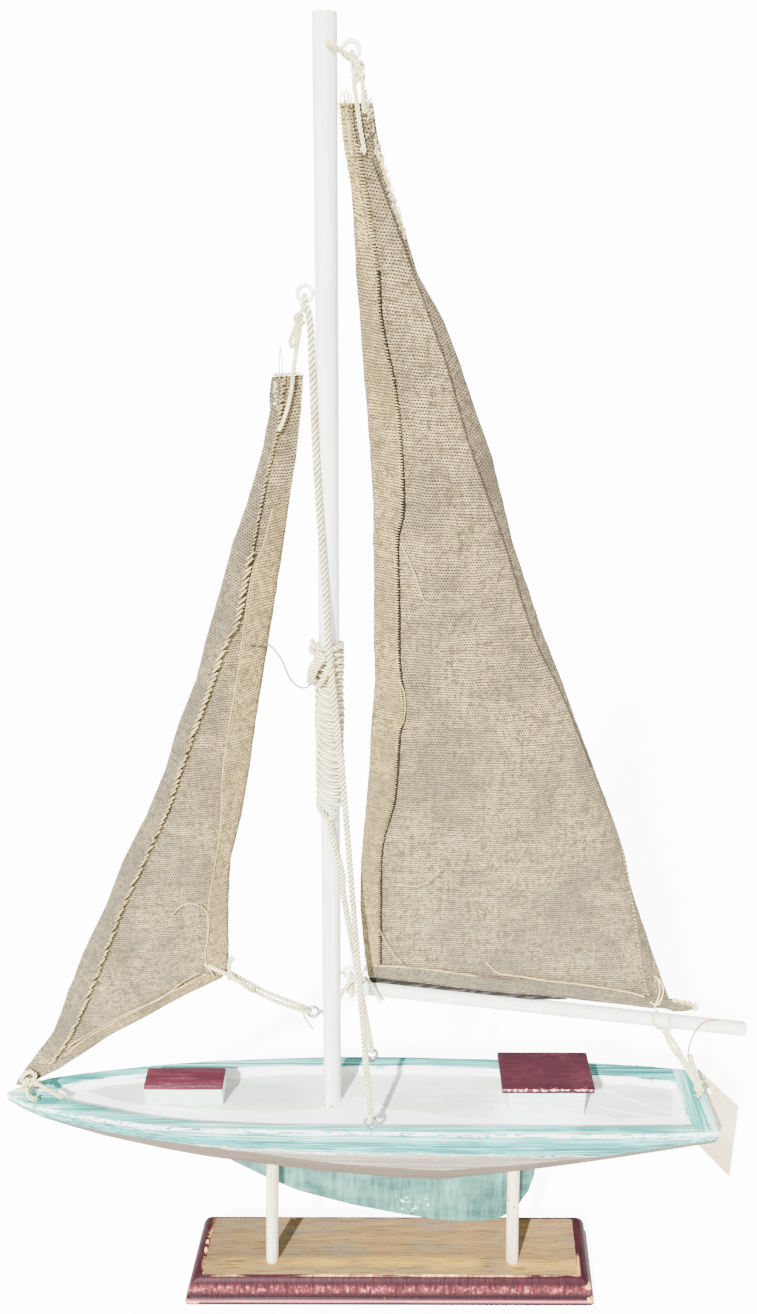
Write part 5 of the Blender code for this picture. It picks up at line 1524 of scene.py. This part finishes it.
# painted shade: dark lines beside the luff and leech hems
hems += [shade_edge("main_luff_shade", MAIN_CUT, MAIN_LUFF_HEM[3:], lambda share, z: 0.25 - 0.2 * share,
                    260, 1.7, shadow_linen),
         shade_edge("main_leech_shade", MAIN_CUT, [(x - 0.5, z) for x, z in MAIN_LEECH_HEM[1:12]],
                    lambda share, z: 0.1, 160, 0.25, shade_linen)]
head_ticks = []
for n, (shift, seed) in enumerate(((-1.4, 21), (-2.6, 22), (-3.4, 23))):
    line = [(x + shift - 0.6, z) for x, z in MAIN_LUFF_HEM[:6]]
    head_ticks += overcast(MAIN_CUT, line[:6 - n], 1.25, 1.3, 0.9, 0.75, 0.0005, seed, 1.6)
sewing = rope_piece(
    "main_sail_sewing", yarn_mat, *head_ticks,
    *overcast(MAIN_CUT, MAIN_LUFF_HEM[1:11], 1.05, 1.5, 0.3, 1.7, seed=2),
    *overcast(MAIN_CUT, MAIN_LUFF_HEM[10:], 1.1, 1.1, 0.3, 1.5, seed=5),
    *overcast(MAIN_CUT, MAIN_LEECH_HEM[12:], 2.0, 0.9, 0.6, 1.1, 0.0005, seed=6),
    loose_yarn(on_cloth(MAIN_CUT, MAIN_FOOT_HEM[:4], 1.7), 0.0007),
    loose_yarn(on_cloth(MAIN_CUT,
                        ((40.5, 194.2), (42.9, 191.5), (46.5, 188.4), (55.5, 186.6), (64.9, 184.4),
                         (82.4, 182.0), (98.0, 179.0), (108.0, 176.4), (115.5, 173.2)), 1.7), 0.0009),
    loose_yarn([(-7.1, -3.4, 212.8), (-4.5, -4.0, 206.4), (-0.9, -4.4, 200.0), (3.1, -4.4, 194.8)]),
    loose_yarn(
        on_cloth(MAIN_CUT, ((0.4, 331.4), (2.4, 326.0), (3.0, 318.6), (2.2, 312.4), (0.2, 309.4)), 1.5)),
    loose_yarn([(-4.6, -2.2, 233.9), (2.0, -4.6, 236.0), (8.0, -6.6, 236.8), (13.6, -7.0, 240.2),
                (18.5, -6.4, 245.4)]),
    loose_yarn([(0.3, -2.8, 387.4), (3.6, -6.0, 381.4), (6.0, -6.4, 375.6), (9.6, -6.4, 365.7),
                (14.2, -5.4, 363.2)]))
loops = [loose_yarn([(x, -1.7, 534.0), (x - 0.15, -1.9, 536.6), (x + 0.35, -2.0, top),
                     (x + 0.9, -1.9, 536.8), (x + 0.75, -1.7, 534.0)], 0.00042) for x, top in (
             (-20.2, 538.6), (-18.9, 538.9), (-17.7, 538.2))]
frays = rope_piece(
    "main_sail_frays", fray_mat, *loops,
    *curls(MAIN_CUT, (-12.9, 539.0), (-8.8, 522.0), 34, 2.8, 0.55, 0.00055, 31.0),
    *curls(MAIN_CUT, (-8.6, 522.0), (1.2, 494.0), 52, 1.5, 0.62, 0.0006, 33.0, 1.2),
    *curls(MAIN_CUT, (-18.6, 533.6), (-17.0, 520.0), 20, 1.8, 0.5, 0.00045, 35.0),
    *fray_out(MAIN_CUT, (-20.6, 534.6), (-10.2, 534.8), 14, 1.6, math.radians(92), 4.0),
    *fray_out(MAIN_CUT, (-8.0, 524.0), (1.0, 496.0), 30, 0.7, math.radians(15), 7.0),
    *fray_out(MAIN_CUT, (1.0, 496.0), (37.6, 405.0), 60, 0.35, math.radians(30), 11.0))
hems += [sewing, frays]

# the raw foot edge turned up behind the hem, just above the boom, coloured near-black as painted shadow for
# the gap between foot and boom
foot_back = [(-11.6, 184.6), (13.0, 182.2), (36.8, 178.9), (60.0, 175.9), (78.0, 173.4)]
verts = []
uvs = []
for j in range(49):
    x = foot_back[0][0] + (foot_back[-1][0] - foot_back[0][0]) * j / 48
    z = float(along_x(foot_back, x))
    drop = max(0.6, z - (boom_mid(x).z + BOOM_R - 0.3)) * float(
        np.interp(x, (-11.6, 60, 78), (1.0, 1.0, 0.4)))
    for k in range(3):
        verts.append((x / 1000, 0.0006 - 0.0002 * k, (z - drop * k / 2) / 1000))
        uvs.append((x / 1000, z / 1000 - k * 0.0008))
foot_turn_shadow = sheet_grid("main_foot_turn", verts, uvs, 2, 48, shadow_linen, HEM)
hems.append(foot_turn_shadow)

# the clew's corner of the cloth, folded flat and sewn down along the boom, cut from the darker leech linen as
# painted shade
CLEW_FOLD = ((112.0, 175.4, 171.0), (117.5, 175.4, 169.9), (122.3, 175.0, 168.2), (126.0, 174.6, 166.6),
             (131.3, 173.2, 166.7), (133.6, 171.6, 167.2), (135.0, 170.2, 168.6))
clew_verts = []
clew_uvs = []
for j in range(47):
    x = CLEW_FOLD[0][0] + j * 0.5
    top, bottom = (float(along_x(CLEW_FOLD, x, n)) for n in (1, 2))
    for k in range(10):
        a = 2 * math.pi * k / 10
        rag = 1.0 + 0.16 * noise.noise(Vector((j * 0.45, k * 0.9, 2.0)))
        z = (top + bottom) / 2 + (top - bottom) / 2 * math.sin(a) * rag
        clew_verts.append((x / 1000, (-2.3 - 0.75 * rag * math.cos(a) - 0.5 * math.sin(a)) / 1000, z / 1000))
        clew_uvs.append((x / 1000, z / 1000))
clew_faces = [(j * 10 + k, j * 10 + (k + 1) % 10, (j + 1) * 10 + (k + 1) % 10, (j + 1) * 10 + k)
              for j in range(46) for k in range(10)]
clew_faces += [tuple(range(10))[::-1], tuple(46 * 10 + k for k in range(10))]
clew_fold = new_piece("main_clew_fold", clew_verts, clew_faces, shaded_leech_linen, clew_uvs)
clew_yarn = [
    loose_yarn(points, 0.0008) for points in (
        [(115.7, -2.9, 187.0), (118.4, -3.2, 184.2), (119.9, -3.5, 181.0), (119.8, -3.6, 176.6),
         (118.4, -3.6, 172.0)],
        [(117.4, -3.2, 184.6), (118.4, -3.5, 180.4), (118.2, -3.7, 176.0), (117.0, -3.7, 171.6),
         (116.8, -3.6, 169.4)], [(114.6, -3.0, 173.0), (116.8, -3.6, 172.0), (119.2, -3.7, 172.6)])]
clew_ends = []
for n in range(26):
    x = 124.5 + 10.5 * (n % 13) / 12
    top = float(along_x(CLEW_FOLD, x))
    a = noise.noise(Vector((n * 1.7, 51.0, 2.0))) * 3.0
    root = Vector((x, -2.8, top - 0.4 - (n // 13) * 0.9))
    clew_ends.append(loose_yarn([root, root + Vector((0.7, -0.5, 0.5 + a * 0.3)),
                                 root + Vector((1.3 + a * 0.2, -0.7, 0.1 + a * 0.5)),
                                 root + Vector((0.9 + a * 0.4, -0.3, -0.6 + a * 0.2))], 0.0007))
for n in range(9):
    a = math.radians(-60 + n * 15)
    root = Vector((134.2, -2.4, 169.4 + n * 0.2 - 0.8))
    size = 2.2 + 2.0 * abs(noise.noise(Vector((n * 2.1, 3.0, 1.0))))
    clew_ends.append(
        loose_yarn([root, root + Vector((math.cos(a) * size * 0.5, -0.2, math.sin(a) * size * 0.5 + 0.2)),
                    root + Vector((math.cos(a) * size, -0.3, math.sin(a) * size + 0.5))], 0.0004))
clew_frays = rope_piece("main_clew_frays", fray_mat, *clew_yarn, *clew_ends)
hems += [clew_fold, clew_frays]
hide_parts("main_sail")
for piece in [main_sail] + hems:
    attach(piece, "boom_and_mainsail")

# --------------------------------------------------------------------- jib
# A smaller piece of the same linen, cut narrow, with wide hems down the luff
# and the leech. Its head and tack are gathered into the ties and its clew is a
# corner of folded cloth.
JIB = ((-45.8, 447.6, -34.4, 448.3), (-47.1, 441.3, -35.2, 442.0), (-46.9, 436.0, -35.6, 436.0),
       (-50.8, 419.6, -37.8, 419.7), (-56.3, 402.8, -40.8, 402.8), (-63.1, 385.3, -43.6, 385.4),
       (-68.5, 367.3, -46.8, 367.4), (-74.6, 348.7, -50.2, 348.8), (-80.1, 329.5, -53.7, 329.6),
       (-88.6, 309.6, -57.3, 309.6), (-95.3, 288.9, -60.6, 289.0), (-104.8, 267.5, -64.8, 267.6),
       (-116.4, 245.3, -70.5, 245.4), (-125.8, 222.3, -72.5, 222.4), (-137.8, 198.3, -73.7, 195.8),
       (-141.2, 190.0, -74.5, 188.0), (-143.1, 185.2, -77.4, 183.2), (-147.8, 174.6, -92.3, 174.8),
       (-151.7, 163.8, -110.3, 163.4), (-156.6, 152.3, -129.1, 151.8), (-164.9, 140.5, -144.6, 139.4),
       (-172.2, 130.4, -156.3, 130.4), (-175.5, 125.2, -165.5, 125.2), (-177.6, 120.9, -172.0, 120.9))
JIB_CUT = (JIB, 3.0)
JIB_LUFF_HEM = ((-41.5, 447.0), (-44.0, 431.0), (-49.5, 409.7), (-55.8, 382.1), (-62.4, 354.6),
                (-66.6, 347.5), (-75.3, 324.7), (-87.3, 294.2), (-94.4, 274.0), (-106.4, 248.1),
                (-119.0, 221.1), (-132.6, 187.4), (-147.2, 154.7), (-158.0, 137.0))
JIB_LEECH_HEM = ((-47.0, 400.0), (-51.0, 386.0), (-56.2, 372.5), (-63.5, 330.9), (-70.5, 294.2),
                 (-74.0, 260.1), (-81.2, 221.2), (-83.2, 187.6))
JIB_FOOT_HEM = ((-83.6, 186.9), (-101.8, 176.2), (-124.8, 161.4), (-141.5, 150.2), (-152.5, 139.8))
jib = cut_cloth("jib_cloth", JIB_CUT, 70, 230, linen, lambda z: -0.10)
jib_luff_edge = [(row[0] + 0.3, row[1]) for row in JIB[:21]]
jib_leech_edge = [(row[2] - 0.3, row[3]) for row in JIB[4:16]]
jib_foot_edge = [(row[2], row[3] + 0.3) for row in JIB[16:21]]


def jib_luff_lift(share, z):
    """How far the fold on the jib's luff stands off the cloth."""
    return float(np.interp(z, (137, 180, 300, 380, 448), (1.5, 1.8, 1.8, 1.2, 0.8))) * share ** 0.8


def jib_leech_lift(share, z):
    """The same for the leech and the foot, at any height."""
    return 0.7 * share


# the jib's luff hem takes the darker foot linen as painted shade
jib_hems = [fold_hem("jib_luff_hem", JIB_CUT, jib_luff_edge, JIB_LUFF_HEM, jib_luff_lift, 260, shaded_foot_linen,
                     math.radians(-30)),
            fold_hem("jib_leech_hem", JIB_CUT, jib_leech_edge, JIB_LEECH_HEM, jib_leech_lift, 200,
                     hem_linen, math.radians(14)),
            fold_hem("jib_foot_hem", JIB_CUT, jib_foot_edge, JIB_FOOT_HEM, jib_leech_lift, 90, hem_linen,
                     math.radians(20))]
jib_shade = shade_edge("jib_luff_shade", JIB_CUT, JIB_LUFF_HEM[2:], lambda share, z: 0.2 - 0.15 * share,
                       240, 1.3, shade_linen)
jib_sewing = rope_piece(
    "jib_sewing", yarn_mat,
    *overcast(JIB_CUT, JIB_LUFF_HEM[3:], 2.6, -2.7, 2.6, 1.7, 0.0008, seed=3, uneven=0.7),
    *overcast(JIB_CUT, JIB_LUFF_HEM[:4], 1.5, -1.4, 1.0, 1.1, 0.0005, seed=4),
    loose_yarn(on_cloth(JIB_CUT, JIB_FOOT_HEM, 1.2), 0.0007),
    loose_yarn(on_cloth(JIB_CUT,
                        ((-149.9, 145.7), (-140.8, 152.4), (-131.9, 158.5), (-116.7, 168.1),
                         (-106.0, 173.3), (-95.2, 182.7), (-86.7, 188.2)), 1.6), 0.0006),
    loose_yarn(on_cloth(JIB_CUT,
                        ((-97.0, 218.8), (-92.3, 223.8), (-87.5, 225.4), (-82.7, 222.4), (-81.1, 216.5),
                         (-82.1, 207.0), (-83.6, 199.5), (-83.3, 192.2), (-80.6, 185.4)), 1.5), 0.0007),
    loose_yarn(on_cloth(JIB_CUT, JIB_LEECH_HEM, 1.15), 0.0005))
thread_mat = spin_cotton("grey_thread", tint(92, 80, 68), tint(58, 50, 44), tint(36, 30, 25))
jib_long_thread = rope_piece(
    "jib_long_thread", thread_mat,
    loose_yarn(((-57.6, -3.6, 346), (-50.8, -5, 347), (-45.7, -7, 342.4), (-41.6, -9, 333.6),
                (-37, -9.5, 330.4), (-33.9, -8, 331.5)), 0.0007))
jib_frays = rope_piece(
    "jib_frays", fray_mat,
    loose_yarn([(-42.9, -1.9, 448.0), (-42.8, -2.1, 453.0), (-42.3, -2.2, 458.6), (-41.9, -2.1, 453.4),
                (-42.0, -1.9, 448.0)], 0.00045),
    *curls(JIB_CUT, (-45.0, 448.6), (-35.2, 448.8), 16, 0.6, 0.55, 0.00045, 41.0),
    *curls(JIB_CUT, (-44.8, 446.0), (-43.6, 434.0), 26, 2.6, 0.5, 0.00045, 43.0),
    *fray_out(JIB_CUT, (-45.6, 447.8), (-36.0, 448.2), 12, 1.8, math.radians(88), 14.0),
    *fray_out(JIB_CUT, (-35.0, 446.0), (-38.0, 418.0), 22, 1.0, math.radians(0), 17.0))
jib_hems += [jib_shade, jib_sewing, jib_long_thread, jib_frays]
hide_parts("jib")
for piece in [jib] + jib_hems:
    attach(piece, "hull_and_stand")

# ---------------------------------------------------------------- swing tag
# A plain card label, unprinted, punched near its top edge and hung on a loop
# of fine thread over the stern eye.
tag = worked_copy("swing_tag", "card_tag")
round_edges(tag, 0.00012, 2, 50)
mat, tree, shader = shader_of("card", rough=0.8, gloss=0.2)
pulp = cloudy(tree, (700.0, 700.0, 700.0), detail=4.0, rough=0.6)
soil = cloudy(tree, (60.0, 60.0, 60.0), detail=3.0)
z_at = parts_of(tree, place(tree, AS_IS))[2]
card = mixed(tree, window(tree, pulp, 0.35, 0.65), tint(232, 214, 168), tint(247, 234, 190))
# painted shade: the card darkens toward its lower part, which hangs in the hull's shade
lower_shade = window(tree, calc(tree, "MULTIPLY_ADD", soil, 0.012, z_at), 0.106, 0.092, 0.0, 0.4)
card = mixed(tree, lower_shade, card, tint(158, 128, 92))
dress(tree, shader, card, window(tree, pulp, 0.3, 0.7, 0.72, 0.88), pulp, 0.0001, 0.4)
tag.data.materials.append(mat)
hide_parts("swing_tag")
low, high = (Vector(v) * 1000 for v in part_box("tag_thread"))
tag_loop = rope_piece(
    "tag_loop", yarn_mat,
    laid([Vector(p) / 1000 for p in (
              (low.x + 2.6, low.y + 0.9, low.z + 0.8), (low.x + 2.2, low.y + 0.2, low.z + 2.2),
              (low.x + 1.2, low.y + 0.9, low.z + 3.0),
              (low.x + 0.4, low.y + 1.6, low.z + 2.4))], 0.0007, 0.0028, plies=2, sides=5))
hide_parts("tag_thread")
for piece in (tag, tag_loop):
    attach(piece, "hull_and_stand")

# ---------------------------------------------------------- light and floor
# A pale sweep of paper in a bright room, with even light from all round and one
# small lamp a long way off, in front, a little to the left and 38 degrees up.
bpy.ops.mesh.primitive_plane_add(size=60.0, location=(0, 0, -0.0002))
floor = bpy.context.object
floor.name = "floor"
mat, tree, shader = shader_of("paper_floor", rough=0.95, gloss=0.1)
shader.inputs["Base Color"].default_value = (0.92, 0.92, 0.92, 1.0)
shader.inputs["Emission Color"].default_value = (1.0, 1.0, 1.0, 1.0)
seen = tree.nodes.new("ShaderNodeLightPath")
tree.links.new(times(tree, seen.outputs["Is Camera Ray"], 10.0), shader.inputs["Emission Strength"])
floor.data.materials.append(mat)

world = bpy.data.worlds.new("studio")
bpy.context.scene.world = world
world.use_nodes = True
tree = world.node_tree
room = tree.nodes["Background"]
room.inputs["Color"].default_value = (1.0, 1.0, 1.0, 1.0)
room.inputs["Strength"].default_value = 1.2
backdrop = tree.nodes.new("ShaderNodeBackground")
backdrop.inputs["Strength"].default_value = 18.0
seen = tree.nodes.new("ShaderNodeLightPath")
choice = tree.nodes.new("ShaderNodeMixShader")
tree.links.new(seen.outputs["Is Camera Ray"], choice.inputs[0])
tree.links.new(room.outputs[0], choice.inputs[1])
tree.links.new(backdrop.outputs[0], choice.inputs[2])
tree.links.new(choice.outputs[0], tree.nodes["World Output"].inputs["Surface"])
lamp_data = bpy.data.lights.new("far_lamp", "SUN")
lamp_data.energy = 17.0
lamp_data.angle = math.radians(1.8)
lamp = bpy.data.objects.new("far_lamp", lamp_data)
bpy.context.scene.collection.objects.link(lamp)
lamp.location = (-0.5, -1.2, 1.0)
lamp.rotation_euler = Vector((0.31, 0.73, -0.61)).to_track_quat("-Z", "Y").to_euler()
